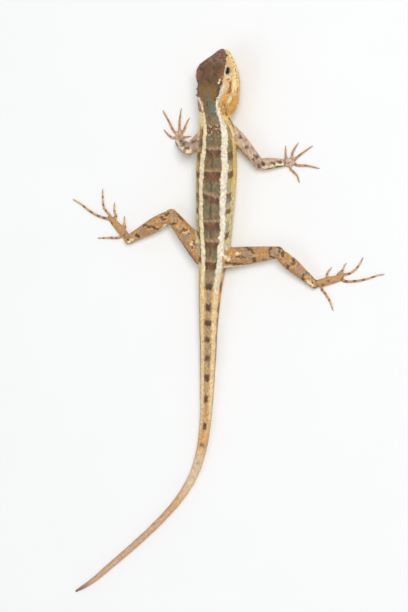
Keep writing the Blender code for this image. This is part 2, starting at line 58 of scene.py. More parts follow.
view_back = Vector((math.sin(VIEW_LEAN), 0.0, math.cos(VIEW_LEAN)))
view_up = Vector((0.0, 1.0, 0.0))
view_side = view_up.cross(view_back)
camera_data = bpy.data.cameras.new("camera")
camera_data.lens = 100.0
camera_data.sensor_width = 36.0
camera_data.clip_start = 0.01
camera = bpy.data.objects.new("camera", camera_data)
bpy.context.scene.collection.objects.link(camera)
view_distance = camera_data.lens / camera_data.sensor_width * PHOTO_HEIGHT * PIXEL_SIZE * MM
turn = Matrix((view_side, view_up, view_back)).transposed().to_4x4()
camera.matrix_world = Matrix.Translation(place(VIEW_MIDDLE) + view_back * view_distance) @ turn
bpy.context.scene.camera = camera


# The table. A sheet of matt white board under two soft lamps and a pale room: the main lamp
# stands ahead and to the animal's right, so the soft shadows fall behind and to its left.
def linear(hex_colour):
    """An sRGB hex colour as the linear values that Blender works in."""
    parts = [int(hex_colour[i : i + 2], 16) / 255 for i in (1, 3, 5)]
    return [c / 12.92 if c <= 0.04045 else ((c + 0.055) / 1.055) ** 2.4 for c in parts]


def add_node(material, kind, values=(), links=(), **settings):
    """One node of a material, with its settings, the values in its sockets and its links."""
    made = material.node_tree.nodes.new(kind)
    for name, value in settings.items():
        setattr(made, name, value)
    for socket, value in dict(values).items():
        made.inputs[socket].default_value = value
    for socket, source in dict(links).items():
        material.node_tree.links.new(source, made.inputs[socket])
    return made


def new_material(name, roughness, **values):
    """A material with its shader, and the numbers that are the same all over it."""
    material = bpy.data.materials.new(name)
    material.use_nodes = True
    shader = material.node_tree.nodes["Principled BSDF"]
    shader.inputs["Roughness"].default_value = roughness
    for socket, value in values.items():
        shader.inputs[socket.replace("_", " ")].default_value = value
    return material, shader


def new_object(name, mesh, body="root"):
    """A finished mesh as an object in the scene, riding on a body unless body is None."""
    made = bpy.data.objects.new(name, mesh)
    bpy.context.scene.collection.objects.link(made)
    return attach(made, body) if body else made


def mesh_of(bm, name):
    """The finished bmesh as a mesh of that name."""
    mesh = bpy.data.meshes.new(name)
    bm.to_mesh(mesh)
    bm.free()
    return mesh


def drifting_finish(name, roughness, lumps, detail, dark, pale):
    """A material whose colour drifts between two, in so many soft lumps to a metre."""
    material, shader = new_material(name, roughness)
    where = add_node(material, "ShaderNodeTexCoord")
    drift = add_node(
        material, "ShaderNodeTexNoise", {"Scale": lumps, "Detail": detail},
        {"Vector": where.outputs["Object"]},
    )
    tone = add_node(
        material, "ShaderNodeMix", {"A": (*linear(dark), 1), "B": (*linear(pale), 1)},
        {"Factor": drift.outputs["Fac"]}, data_type="RGBA",
    )
    material.node_tree.links.new(tone.outputs[2], shader.inputs["Base Color"])
    return material


# Matt coated board: nearly white, no gloss, a grain too fine to see but for a slight unevenness
board = drifting_finish("matt white board", 0.85, 35.0, 3.0, "#eaeaea", "#ededed")
bm = bmesh.new()
bmesh.ops.create_grid(bm, x_segments=1, y_segments=1, size=1.5)
table = new_object("table", mesh_of(bm, "table"), None)
table.data.materials.append(board)

world = bpy.data.worlds.new("pale room")
bpy.context.scene.world = world
world.use_nodes = True
world.node_tree.nodes["Background"].inputs["Color"].default_value = (0.97, 0.985, 1.0, 1.0)
world.node_tree.nodes["Background"].inputs["Strength"].default_value = 0.46
for name, stand, size, watts in (
    ("main lamp", (0.5, 0.3, 1.35), 0.7, 15.2),
    ("fill lamp", (-0.5, -0.4, 0.8), 0.6, 1.4),
):
    lamp_data = bpy.data.lights.new(name, "AREA")
    lamp_data.size = size
    lamp_data.energy = watts
    lamp = bpy.data.objects.new(name, lamp_data)
    bpy.context.scene.collection.objects.link(lamp)
    lamp.location = stand
    lamp.rotation_euler = (-Vector(stand)).to_track_quat("-Z", "Y").to_euler()
bpy.context.scene.view_settings.view_transform = "Standard"


# The lines of the body. The backbone, the bones of each leg and the toes are the lines that
# the scales grow round and the markings follow, with the sizes that the solids have. A turn
# round a line is counted in degrees from the top, towards the animal's right on the body.

# The spine's rows: place along the animal, then across and up, half width, rise of the back,
# drop of the belly, and twist in degrees
SPINE = [
    (31.5, 0.1, 8.1, 5.2, 4.4, 4.9, 25.0),
    (29.3, 0.2, 7.6, 5.25, 4.4, 4.9, 21.0),
    (27.0, 0.3, 7.1, 5.8, 4.6, 5.0, 14.0),
    (23.5, 0.5, 6.3, 6.2, 4.95, 5.4, 6.0),
    (19.5, 0.45, 5.8, 6.6, 5.4, 5.7, 2.0),
    (12.0, 0.3, 5.6, 7.05, 5.8, 5.85, 0.0),
    (3.0, 0.1, 5.6, 6.9, 5.9, 5.85, 0.0),
    (-5.0, -0.25, 5.5, 6.5, 5.8, 5.75, 0.0),
    (-12.0, -0.6, 5.3, 6.1, 5.5, 5.5, 0.0),
    (-18.0, -0.95, 5.0, 5.6, 5.2, 5.2, 0.0),
    (-22.4, -1.35, 4.6, 4.9, 4.8, 4.7, 0.0),
    (-27.3, -2.0, 4.1, 4.3, 4.3, 4.2, 0.0),
    (-31.5, -2.5, 3.75, 3.95, 3.9, 3.85, 0.0),
    (-38.5, -3.0, 3.3, 3.5, 3.4, 3.4, 0.0),
    (-45.5, -3.4, 2.9, 3.1, 3.0, 3.0, 0.0),
    (-52.5, -3.55, 2.6, 2.85, 2.7, 2.7, 0.0),
    (-59.5, -3.85, 2.35, 2.6, 2.45, 2.45, 0.0),
    (-68.3, -4.2, 2.1, 2.3, 2.2, 2.2, 0.0),
    (-76.3, -4.7, 1.87, 1.98, 1.9, 1.97, 0.0),
    (-87.9, -6.5, 1.6, 1.7, 1.65, 1.7, 0.0),
    (-94.9, -8.7, 1.48, 1.58, 1.55, 1.58, 0.0),
    (-105.7, -15.4, 1.2, 1.3, 1.25, 1.28, 0.0),
    (-114.6, -23.7, 1.12, 1.2, 1.15, 1.2, 0.0),
    (-123.6, -33.6, 1.07, 1.15, 1.1, 1.15, 0.0),
    (-130.2, -41.4, 0.97, 1.05, 1.0, 1.05, 0.0),
    (-134.6, -46.6, 0.84, 0.92, 0.88, 0.92, 0.0),
    (-137.4, -50.6, 0.67, 0.73, 0.7, 0.73, 0.0),
    (-139.2, -53.8, 0.45, 0.5, 0.48, 0.5, 0.0),
]
HEAD_LENGTH = 22.0
HEAD_YAW, HEAD_PITCH, HEAD_ROLL = math.radians(10.0), math.radians(5.0), math.radians(25.0)
HEAD_BACK = np.array([-0.5, 29.6, 7.8])
# The radius of each length of a leg, at shares of its length from the body out
UPPER_ARM = [(0.0, 1.9), (0.3, 2.25), (0.7, 2.05), (1.0, 1.85)]
FOREARM = [(0.0, 1.85), (0.3, 2.05), (0.75, 1.7), (1.0, 1.45)]
THIGH = [(0.0, 3.7), (0.3, 3.4), (0.65, 2.75), (1.0, 2.1)]
SHANK = [(0.0, 2.05), (0.35, 2.4), (0.75, 1.85), (1.0, 1.5)]
PALM, SOLE = [(0.0, 1.25), (0.5, 1.6), (1.0, 1.35)], [(0.0, 1.35), (0.5, 1.5), (1.0, 1.15)]
LEGS = {
    "arm_right": [(5.6, 23.9, 4.9), (15.1, 11.8, 3.5), (22.6, 12.2, 1.75), (26.2, 12.5, 0.6)],
    "arm_left": [(-2.3, 23.8, 5.0), (-8.7, 16.7, 8.8), (-14.3, 20.3, 2.0), (-15.0, 23.2, 0.6)],
    "leg_right": [(2.4, -20.6, 4.8), (22.1, -18.7, 5.2), (34.2, -29.7, 2.1), (43.2, -27.5, 0.7)],
    "leg_left": [(-2.7, -21.7, 4.8), (-16.2, -5.5, 5.2), (-33.0, -13.6, 2.1), (-40.2, -6.2, 0.7)],
}
# Toes from the inner to the outer one, from where they part to the tip of the claw
TOES = {
    "hand_right": [
        [(23.9, 13.4), (23.5, 18.4)],
        [(25.9, 14.3), (28.2, 19.4)],
        [(26.9, 13.3), (30.6, 16.1), (33.4, 18.0)],
        [(26.9, 11.7), (31.2, 11.1), (35.8, 9.9)],
        [(25.2, 10.6), (27.7, 7.9), (28.5, 5.0)],
    ],
    "hand_left": [
        [(-13.4, 22.0), (-10.3, 22.5)],
        [(-13.4, 24.0), (-12.3, 26.8), (-11.0, 29.1)],
        [(-14.8, 24.3), (-14.6, 28.6), (-14.1, 32.6)],
        [(-16.0, 23.6), (-18.3, 27.4), (-21.2, 32.1)],
        [(-16.2, 21.9), (-19.6, 23.9), (-20.8, 25.4)],
    ],
    "foot_right": [
        [(38.2, -26.9), (39.9, -23.6)],
        [(41.5, -26.8), (43.5, -25.4), (44.1, -23.7), (45.2, -22.3)],
        [(43.4, -26.8), (45.8, -26.2), (48.3, -24.6), (49.7, -22.7), (50.9, -20.3)],
        [(43.3, -28.1), (47.5, -28.7), (50.0, -28.4), (53.3, -27.6), (56.3, -26.6), (58.3, -26.5)],
        [(36.3, -31.2), (37.5, -32.6), (38.6, -34.1), (39.7, -36.6), (40.4, -39.0)],
    ],
    "foot_left": [
        [(-35.0, -10.3), (-35.2, -8.2), (-35.4, -4.9)],
        [(-38.4, -5.8), (-39.1, -3.2), (-39.1, -0.1)],
        [(-40.6, -5.1), (-42.8, -2.4), (-43.4, 0.5), (-43.6, 4.8)],
        [(-41.5, -6.1), (-44.9, -5.1), (-48.0, -3.4), (-51.9, -0.6), (-55.2, 1.3)],
        [(-36.5, -12.4), (-41.0, -12.8), (-45.9, -12.9)],
    ],
}
CLAW_LENGTH = 1.25
# The line of a leg's length runs past both its ends by this share of it
PAST_ENDS = 0.12


def unit(vectors):
    """The vectors, each made one unit long."""
    return vectors / np.maximum(np.linalg.norm(vectors, axis=-1, keepdims=True), 1e-9)


def smooth_rows(rows, at):
    """Values of the rows between their keys, the first column, on a smooth curve."""
    rows = np.array(rows, float)
    rows = rows[rows[:, 0].argsort()]
    keys, values = rows[:, 0], rows[:, 1:]
    slopes = np.gradient(values, keys, axis=0)
    at = np.clip(np.atleast_1d(np.asarray(at, float)), keys[0], keys[-1])
    i = np.clip(np.searchsorted(keys, at, side="right") - 1, 0, len(keys) - 2)
    span = (keys[i + 1] - keys[i])[:, None]
    t = ((at - keys[i]) / (keys[i + 1] - keys[i]))[:, None]
    return (
        (2 * t**3 - 3 * t**2 + 1) * values[i]
        + (t**3 - 2 * t**2 + t) * span * slopes[i]
        + (3 * t**2 - 2 * t**3) * values[i + 1]
        + (t**3 - t**2) * span * slopes[i + 1]
    )


def length_along(points):
    """How far along a line each of its points lies."""
    steps = np.linalg.norm(np.diff(points, axis=0), axis=1)
    return np.concatenate([[0.0], np.cumsum(steps)])


def new_line(points, keys, radii, roll=0.0):
    """A line of the body: its points, their keys and radii, and the axes at each point."""
    points = np.array(points, float)
    ahead = unit(np.gradient(points, axis=0))
    side = unit(np.cross(ahead, (0.0, 0.0, 1.0)))
    top = np.cross(side, ahead)
    roll = np.broadcast_to(np.radians(roll), len(points))[:, None]
    return {
        "points": points,
        "keys": np.array(keys, float),
        "radii": np.array(radii, float),
        "ahead": ahead,
        "side": side * np.cos(roll) + top * np.sin(roll),
        "top": top * np.cos(roll) - side * np.sin(roll),
        "length": length_along(points),
    }


lines = {}
keys = np.arange(SPINE[0][0], SPINE[-1][0], -0.4)
rows = smooth_rows(SPINE, keys)
spine_points = np.column_stack([rows[:, 0], keys, rows[:, 1]])
lines["body"] = new_line(spine_points, keys, rows[:, 2:5].mean(axis=1), -rows[:, 5])
# The body's line runs from head to tail, so its side is turned back to the animal's right
lines["body"]["side"] *= -1.0

head_ahead = np.array(
    [
        math.sin(HEAD_YAW) * math.cos(HEAD_PITCH),
        math.cos(HEAD_YAW) * math.cos(HEAD_PITCH),
        math.sin(HEAD_PITCH),
    ]
)
level_side = unit(np.cross(head_ahead, (0.0, 0.0, 1.0)))
level_top = np.cross(level_side, head_ahead)
head_side = level_side * math.cos(HEAD_ROLL) + level_top * math.sin(HEAD_ROLL)
head_top = level_top * math.cos(HEAD_ROLL) - level_side * math.sin(HEAD_ROLL)


def in_head(back, out, high, way=1.0):
    """The place that lies so far behind the snout, out and up in the head.

    It is on the right side, or on the left where way is -1.
    """
    return HEAD_BACK + head_ahead * (HEAD_LENGTH - back) + head_side * (out * way) + head_top * high


def head_measure(points):
    """How far behind the snout, out to the right and up in the head the points lie."""
    reach = np.asarray(points) - HEAD_BACK
    return HEAD_LENGTH - reach @ head_ahead, reach @ head_side, reach @ head_top


keys = np.linspace(-0.5, 22.5, 47)
lines["head"] = new_line([in_head(k, 0.0, 0.0) for k in keys], keys, np.full(len(keys), 5.0))
lines["head"]["side"][:] = head_side
lines["head"]["top"][:] = head_top


def leg_names(leg):
    """The names of a leg's solids: its upper length, its lower length and its hand or foot."""
    words = ("upper_arm", "forearm", "hand") if leg.startswith("arm") else ("thigh", "shank", "foot")
    return [f"{word}_{leg.split('_')[1]}" for word in words]


for leg, joints in LEGS.items():
    girth = {"arm_left": 1.05, "leg_left": 1.1}.get(leg, 1.0)
    shapes = (UPPER_ARM, FOREARM, PALM) if leg.startswith("arm") else (THIGH, SHANK, SOLE)
    for i, (name, shape) in enumerate(zip(leg_names(leg), shapes)):
        start, end = np.array(joints[i]), np.array(joints[i + 1])
        keys = np.linspace(-PAST_ENDS, 1 + PAST_ENDS, 25)
        radii = smooth_rows(shape, keys)[:, 0] * (girth if i < 2 else 1.0)
        lines[name] = new_line(start + (end - start) * keys[:, None], keys, radii)
for foot, toes in TOES.items():
    for i, points in enumerate(toes):
        flat = np.array(points)
        far = length_along(flat)
        pad = far[-1] - CLAW_LENGTH
        at = np.linspace(-0.8, pad, max(8, int(pad / 0.4)))
        bent = smooth_rows(np.column_stack([far, flat]), at)
        bent += np.minimum(at, 0.0)[:, None] * unit(flat[1] - flat[0])
        radii = np.interp(at / pad, [0.0, 0.15, 0.6, 1.0], [0.66, 0.58, 0.5, 0.42])
        high = radii * 0.8 + 0.35 * np.sin(math.pi * np.clip(at / pad, 0, 1)) ** 3
        lines[f"{foot}_toe_{i}"] = new_line(np.column_stack([bent, high]), at / pad, radii)


def along(line, points):
    """The key, turn in degrees, distance and nearest index of points by a line."""
    points = np.asarray(points, float)
    nearest = np.empty(len(points), int)
    at_once = 20000
    for i in range(0, len(points), at_once):
        part = points[i : i + at_once]
        gaps = ((part[:, None] - line["points"][None]) ** 2).sum(axis=2)
        nearest[i : i + at_once] = gaps.argmin(axis=1)
    reach = points - line["points"][nearest]
    ahead = line["ahead"][nearest]
    past = (reach * ahead).sum(axis=1)
    pace = (line["keys"][-1] - line["keys"][0]) / line["length"][-1]
    if line is lines["body"]:
        pace = ahead[:, 1]
    out = reach - ahead * past[:, None]
    turns = np.arctan2((out * line["side"][nearest]).sum(1), (out * line["top"][nearest]).sum(1))
    key = line["keys"][nearest] + past * pace
    return key, np.degrees(turns), np.linalg.norm(out, axis=1), nearest


# The colours. A young garden lizard has two cream stripes down a banded brown and grey-green
# back, golden flanks and cheeks, a brown crown, and legs and toes in barred tan. The same
# words below colour the skin and every scale, so that the two carry one pattern.
PALETTE = {
    "crown": "#70543a", "crown dark": "#54402e", "crown red": "#9c6540", "snout": "#92715a",
    "face": "#ecc085", "lips": "#fbe4aa", "cheek gold": "#dba654", "throat": "#e3b46c",
    "lid": "#f2e2b6", "red streak": "#a0643f", "nape grey": "#75705c", "nape olive": "#8f6c3a",
    "temple": "#5c422d", "bar": "#6b421d", "bar dark": "#4c2f1c", "tan": "#a98250",
    "patch": "#726744", "patch blue": "#656a55", "stripe": "#e5dcc9", "stripe warm": "#e8d9b2",
    "flank": "#e5c474", "flank pale": "#d6c594", "flank dark": "#725536", "flank grey": "#8a8a74",
    "belly": "#ece2c6", "tail": "#d2a164", "tail grey": "#9c8870", "tail pale": "#e6cf9f",
    "tail end": "#c8a58a", "tail tip": "#8a6e5e", "arm": "#d2b49c", "arm dark": "#5d473f",
    "leg": "#bf8e57", "leg grey": "#a58870", "leg dark": "#5e3f2a", "cream": "#efe0b8",
    "toe": "#cfa377", "toe dark": "#6d4c38", "toe gold": "#ddb67e", "black": "#2e241e",
}
PAINT = {name: np.array(linear(value)) for name, value in PALETTE.items()}
draw = np.random.default_rng(7)


def mottle(points, size, seed):
    """A smooth uneven field from about -1 to 1, with lumps of the given size."""
    waves = np.random.default_rng(seed)
    field = np.zeros(len(points))
    for _ in range(7):
        way = unit(waves.normal(size=3)) * 2 * math.pi / (size * waves.uniform(1.3, 2.6))
        field += np.sin(points @ way + waves.uniform(0, 2 * math.pi))
    return field / 3.2


def step(value, low, high):
    """0 below low, 1 above high and smooth between them. It falls where low is the higher."""
    share = np.clip((value - low) / (high - low), 0.0, 1.0)
    return share * share * (3 - 2 * share)


def between(value, low, high, soft):
    """1 between low and high, 0 outside them, and smooth over soft to each side of both."""
    return step(value, low - soft, low + soft) * (1 - step(value, high - soft, high + soft))


def paint(colours, name, cover):
    """Lays one of the colours over the others where cover is above 0."""
    colours += np.clip(cover, 0, 1)[:, None] * (PAINT[name] - colours)


# Place along the spine; outer and inner turn of the left stripe, inner and outer of the right
STRIPES = np.array(
    [
        (29.3, -21, -11, 46, 63), (28.2, -25, -12, 48, 61), (24.2, -35, -19, 40, 62),
        (20.3, -37, -22, 36, 57), (16.5, -39, -23, 32, 51), (13.0, -43, -26, 33, 53),
        (9.6, -45, -28, 34, 54), (6.0, -46, -29, 29, 50), (2.7, -45, -31, 32, 49),
        (-0.8, -45, -27, 30, 50), (-4.2, -45, -28, 33, 51), (-7.6, -41, -26, 34, 53),
        (-11.0, -40, -23, 36, 54), (-14.4, -38, -21, 35, 54), (-17.7, -36, -17, 32, 56),
        (-21.0, -35, -16, 34, 60), (-24.5, -34, -15, 33, 62), (-33.5, -46, -16, 36, 68),
        (-41.0, -46, -17, 38, 74), (-52.7, -49, -17, 38, 80), (-64.0, -52, -18, 40, 88),
        (-90.0, -60, -24, 44, 95),
    ]
)[::-1]
# Front and rear of each dark bar across the back and down the tail
BARS = [
    (25.6, 22.2), (16.8, 13.9), (8.9, 5.4), (0.7, -1.6), (-8.3, -11.2), (-14.9, -17.2),
    (-21.6, -24.0), (-28.8, -31.2), (-36.0, -38.5), (-41.7, -43.8), (-47.5, -49.5),
    (-54.2, -56.1), (-60.7, -63.0), (-68.2, -70.5), (-77.8, -80.0), (-84.7, -86.0),
    (-91.2, -92.4), (-96.3, -97.2),
]
# Front and rear of the brown flecks under each stripe on the flanks
FLANK_FLECKS = [(15.6, 12.6), (8.8, 6.2), (1.4, -2.0), (-4.0, -5.9), (-12.0, -14.2), (-20.2, -22.4)]


def body_colours(points, place_along, turn):
    """The colours of the neck, trunk and tail."""
    n = len(points)
    wave = mottle(points, 1.6, 3)
    fine = mottle(points, 0.6, 4)
    at = place_along + 0.35 * fine
    rows = [np.interp(place_along, STRIPES[:, 0], STRIPES[:, i]) for i in range(1, 5)]
    left_out, left_in, right_in, right_out = rows
    turned = turn + 1.6 * wave + 1.2 * fine
    mid = 0.5 * (left_in + right_in)
    across = (turned - mid) / (0.5 * (right_in - left_in))
    back = step(place_along, -22.0, -36.0)
    # The flanks, golden in front and paler behind, and the belly
    colours = np.tile(PAINT["flank"], (n, 1))
    paint(colours, "flank pale", step(place_along, 9.0, -6.0))
    paint(colours, "tail", step(place_along, -20.0, -30.0))
    under = np.abs(turned - 3.0)
    paint(colours, "belly", step(under, 98.0, 118.0) * (1 - 0.45 * step(place_along, -60, -90)))
    for front, rear in FLANK_FLECKS:
        for stripe_edge, way in ((right_out, 1.0), (left_out, -1.0)):
            past = (turned - stripe_edge) * way
            near = between(past, -2.0, 20.0, 3.0)
            slant = at - 0.06 * past
            paint(colours, "flank dark", between(slant, rear, front, 0.35) * near)
            grey = between(slant, front + 0.5, front + 4.2, 0.5)
            paint(colours, "flank grey", 0.7 * grey * between(past, -2.0, 17.0, 3.0) * (1 - back))
    thin = between(turned - right_out, 26.0, 30.0, 1.2) + between(left_out - turned, 26, 30, 1.2)
    paint(colours, "flank dark", 0.5 * thin * step(wave, -0.2, 0.3) * between(at, -21, 4, 2.0))
    edge = between(left_out - turned, 0.0, 7.0, 1.5)
    paint(colours, "flank dark", 0.58 * edge * between(at, -20, 26, 2.0))
    # The patches between the stripes
    saddle = between(across, -1.0, 1.0, 0.04)
    middle = between(across, -0.55, 0.55, 0.1)
    grain = mottle(points, 0.42, 8)
    paint(colours, "patch", saddle * (1 - back))
    paint(colours, "tan", 0.5 * saddle * (1 - back) * step(mottle(points, 1.1, 5), 0.0, 0.8))
    paint(colours, "nape grey", 0.6 * saddle * between(at, 24.5, 40.0, 1.0))
    paint(colours, "tan", 0.6 * saddle * between(at, 25.5, 40.0, 1.0) * step(wave, -0.7, 0.5))
    paint(colours, "bar", 0.18 * saddle * between(at, 9.0, 23.0, 1.0))
    paint(colours, "patch blue", 0.7 * saddle * step(mottle(points, 0.9, 9), 0.0, 0.6) * (1 - back))
    paint(colours, "bar", 0.35 * saddle * step(grain, 0.35, 0.8) * (1 - back))
    paint(colours, "leg dark", 0.3 * back * between(place_along, -58.0, -46.0, 3.0))
    paint(colours, "tail grey", 0.85 * middle * back * (1 - step(place_along, -66, -84)))
    paint(colours, "bar", 0.35 * back * step(grain, 0.3, 0.8) * step(place_along, -112, -84))
    paint(colours, "tail pale", 0.35 * back * step(-grain, 0.3, 0.8))
    # A dark line down the middle of the back
    line = between(np.abs(turned - mid * 0.5), -1.0, 3.4, 1.0)
    paint(colours, "bar dark", 0.75 * line * between(at, -20, 14, 2.0))
    # The bars
    for i, (front, rear) in enumerate(BARS):
        on_back = front > -25
        # The fourth bar lies aslant, and on the tail each third one is wider
        slant = at + 0.9 * across * (i == 3)
        reach = 0.95 if on_back else (0.8, 0.62, 0.62)[i % 3]
        if on_back:
            tan = between(slant, front - 0.1, front + 1.1, 0.3) * (0.35 if i == 0 else 1.0)
            paint(colours, "tan", 0.6 * tan * saddle)
            paint(colours, "stripe", 0.25 * between(slant, front, front + 0.5, 0.2) * saddle * (i > 0))
        dark = between(slant, rear, front, 0.3) * between(across, -reach, reach, 0.12)
        strength = (1.0 if front > -80 else 0.7) * dark * (0.85 + 0.15 * step(fine, -0.6, 0.2))
        paint(colours, "bar" if on_back else "bar dark", strength)
        paint(colours, "tan", 0.4 * dark * step(grain, 0.3, 0.8) * on_back)
        paint(colours, "bar dark", 0.45 * dark * step(-grain, 0.3, 0.8))
        corner = between(slant, front - 1.6, front, 0.4) * step(np.abs(across), 0.4, 0.7)
        paint(colours, "bar dark", 0.95 * corner * saddle * on_back)
        dash = between(slant, rear - 0.8, front + 0.4, 0.4) * between(turned, 70, 96, 5.0)
        paint(colours, "leg dark", 0.8 * dash * between(place_along, -75, -22, 2.0))
    fleck = step(mottle(points, 0.4, 6), 0.5, 0.8) * saddle
    paint(colours, "cream", 0.55 * fleck * between(at, 21.8, 26.2, 0.6))
    paint(colours, "bar dark", 0.3 * saddle * step(grain, 0.3, 0.7) * between(at, 26.0, 40.0, 1.0))
    # Under the right stripe at the shoulder, and the shaded left side behind the jaw
    past, left_past = turned - right_out, left_out - turned
    paint(colours, "flank dark", 0.65 * between(past, -2, 20, 4) * between(at, 13, 26, 1.5))
    paint(colours, "leg dark", 0.75 * between(left_past, -2, 20, 4) * between(at, 17.5, 25.5, 1.0))
    paint(colours, "arm", 0.7 * between(left_past, 18, 70, 4) * between(at, 16.0, 25.0, 1.5))
    paint(colours, "cream", 0.7 * between(left_past, 4, 70, 4) * between(at, 25.5, 40.0, 0.8))
    groin = between(at, -18.6, -15.6, 0.4) + between(at, -21.8, -20.2, 0.3)
    paint(colours, "cream", 0.7 * groin * between(past, 4, 26, 3) * step(wave, -0.9, -0.2))
    rim = between(past, -1.5, 1.5, 1.2) + between(left_past, -1.5, 1.5, 1.2)
    rim = rim + between(right_in - turned, -1.5, 1.5, 1.2) + between(turned - left_in, -1.5, 1.5, 1.2)
    paint(colours, "bar", 0.45 * rim * between(place_along, -26, 40, 3.0))
    # The stripes, over all that
    for low, high in ((left_out, left_in), (right_in, right_out)):
        scallop = 0.6 * np.sin((place_along + 2.0) * 2 * math.pi / 3.9)
        stripe = between(turned, low - scallop, high + scallop, 1.1)
        shade = "stripe warm" if low is left_out else "stripe"
        paint(colours, shade, stripe * (1 - step(place_along, -26.0, -42.0)))
        paint(colours, "tail pale", 0.9 * stripe * between(place_along, -78, -30, 8.0))
    # The end of the tail
    paint(colours, "tail end", step(place_along, -98.0, -117.0) * 0.85)
    paint(colours, "stripe", 0.45 * between(place_along, -103.0, -88.0, 5.0))
    paint(colours, "tail tip", step(place_along, -134.0, -139.0))
    shaded = between(turned, -120, -20, 25) * step(place_along, -85.0, -105.0)
    paint(colours, "leg grey", 0.35 * shaded)
    # The pale creases, and the dark fold before the right shoulder painted black as painted shade in the
    # fold
    fold = np.abs(turn - (96.0 + 3.0 * (25.5 - place_along)))
    creases = between(np.sin(fold * 0.35), -0.2, 1.2, 0.3) * between(turn, 72, 125, 8)
    paint(colours, "cream", 0.75 * creases * between(at, 20.5, 27.5, 1.5))
    dark = (1 - step(fold * 0.1, 0.4, 0.75)) * between(at, 23.2, 27.8, 0.4)
    paint(colours, "black", 0.85 * dark * (turn > 0))
    throat = step(under, 95, 120) * step(place_along, 20.0, 26.0)
    paint(colours, "throat", 0.7 * throat)
    return colours


# Streaks and spots of the head: the side they are on, colour, softness, strength, then points
# as distance behind the snout, out and up, each with its radius. 0 stands for both sides.
HEAD_MARKS = [
    (0, "temple", 0.3, 0.95, [(11.2, 5.7, 4.0, 0.35), (13.0, 5.2, 4.0, 0.5), (15.5, 4.75, 3.75, 0.55),
                              (17.6, 4.2, 3.7, 0.5)]),
    (0, "stripe", 0.2, 1.0, [(10.9, 5.9, 2.5, 0.3), (12.4, 5.7, 2.45, 0.5), (13.9, 5.5, 2.7, 0.6)]),
    (1, "stripe", 0.2, 1.0, [(13.9, 5.5, 2.7, 0.6), (15.4, 5.4, 2.9, 0.65), (16.9, 5.0, 3.1, 0.6),
                             (18.9, 4.65, 3.3, 0.5), (20.3, 4.65, 2.6, 0.55), (23.0, 5.0, 1.2, 0.8)]),
    (-1, "stripe", 0.2, 1.0, [(13.9, 5.5, 2.7, 0.6), (16.6, 5.0, 3.1, 0.6), (18.3, 3.7, 3.85, 0.55),
                              (19.2, 2.2, 4.2, 0.5), (20.3, 1.2, 4.3, 0.45), (22.5, 0.5, 4.3, 0.5)]),
    (1, "cream", 0.2, 0.9, [(10.2, 5.45, 4.3, 0.25), (11.8, 4.7, 4.3, 0.3)]),
    (0, "red streak", 0.3, 0.95, [(10.9, 6.6, 0.1, 0.4), (12.5, 6.9, 0.0, 0.65), (13.9, 6.9, 0.3, 0.6),
                                  (14.7, 6.6, 0.8, 0.35)]),
    (0, "flank pale", 0.3, 0.8, [(11.3, 6.1, 1.4, 0.35), (14.0, 6.2, 1.5, 0.45)]),
    (0, "lips", 0.3, 0.9, [(10.2, 6.7, -0.8, 0.4), (13.6, 7.3, -0.95, 0.5)]),
    (0, "lid", 0.3, 0.9, [(9.9, 5.7, 4.2, 0.25), (9.3, 6.0, 2.6, 0.5), (9.0, 6.1, 1.0, 0.6),
                          (8.2, 6.2, -0.2, 0.5)]),
    (0, "leg dark", 0.25, 0.85, [(9.9, 6.2, 0.7, 0.3), (10.2, 6.1, 1.3, 0.25)]),
    (0, "leg dark", 0.25, 0.8, [(18.3, 5.8, 1.7, 0.3), (19.3, 6.3, 0.9, 0.4)]),
    (0, "leg dark", 0.25, 0.8, [(21.3, 6.2, 0.0, 0.25), (22.4, 6.0, -1.2, 0.3)]),
    (-1, "leg dark", 0.3, 0.9, [(13.9, 4.9, 4.0, 0.35), (16.8, 4.5, 3.7, 0.45)]),
    (0, "tan", 0.5, 0.6, [(20.0, 6.8, 0.8, 0.7), (21.8, 6.2, 0.9, 0.7)]),
]
CROWN_SPOTS = [
    (-1, "crown dark", 0.25, 0.9, [(7.5, 4.6, 4.1, 0.45), (7.9, 3.1, 4.2, 0.5)]),
    (1, "crown dark", 0.3, 0.8, [(6.8, 1.1, 3.8, 0.45), (6.9, 3.1, 3.9, 0.45)]),
    (1, "crown dark", 0.3, 0.85, [(11.0, -0.6, 4.5, 0.5), (11.7, 1.1, 4.5, 0.6)]),
    (-1, "crown dark", 0.25, 0.8, [(3.6, 0.4, 2.1, 0.45), (4.4, 0.0, 2.5, 0.4)]),
    (-1, "crown dark", 0.25, 0.7, [(5.2, 4.6, 2.9, 0.3), (5.4, 5.2, 3.0, 0.3)]),
    (-1, "crown dark", 0.25, 0.6, [(9.6, 2.6, 4.3, 0.5)]),
    (1, "crown dark", 0.25, 0.6, [(9.2, 2.2, 4.3, 0.4)]),
    (-1, "crown dark", 0.25, 0.7, [(12.8, 3.4, 4.4, 0.45)]),
]
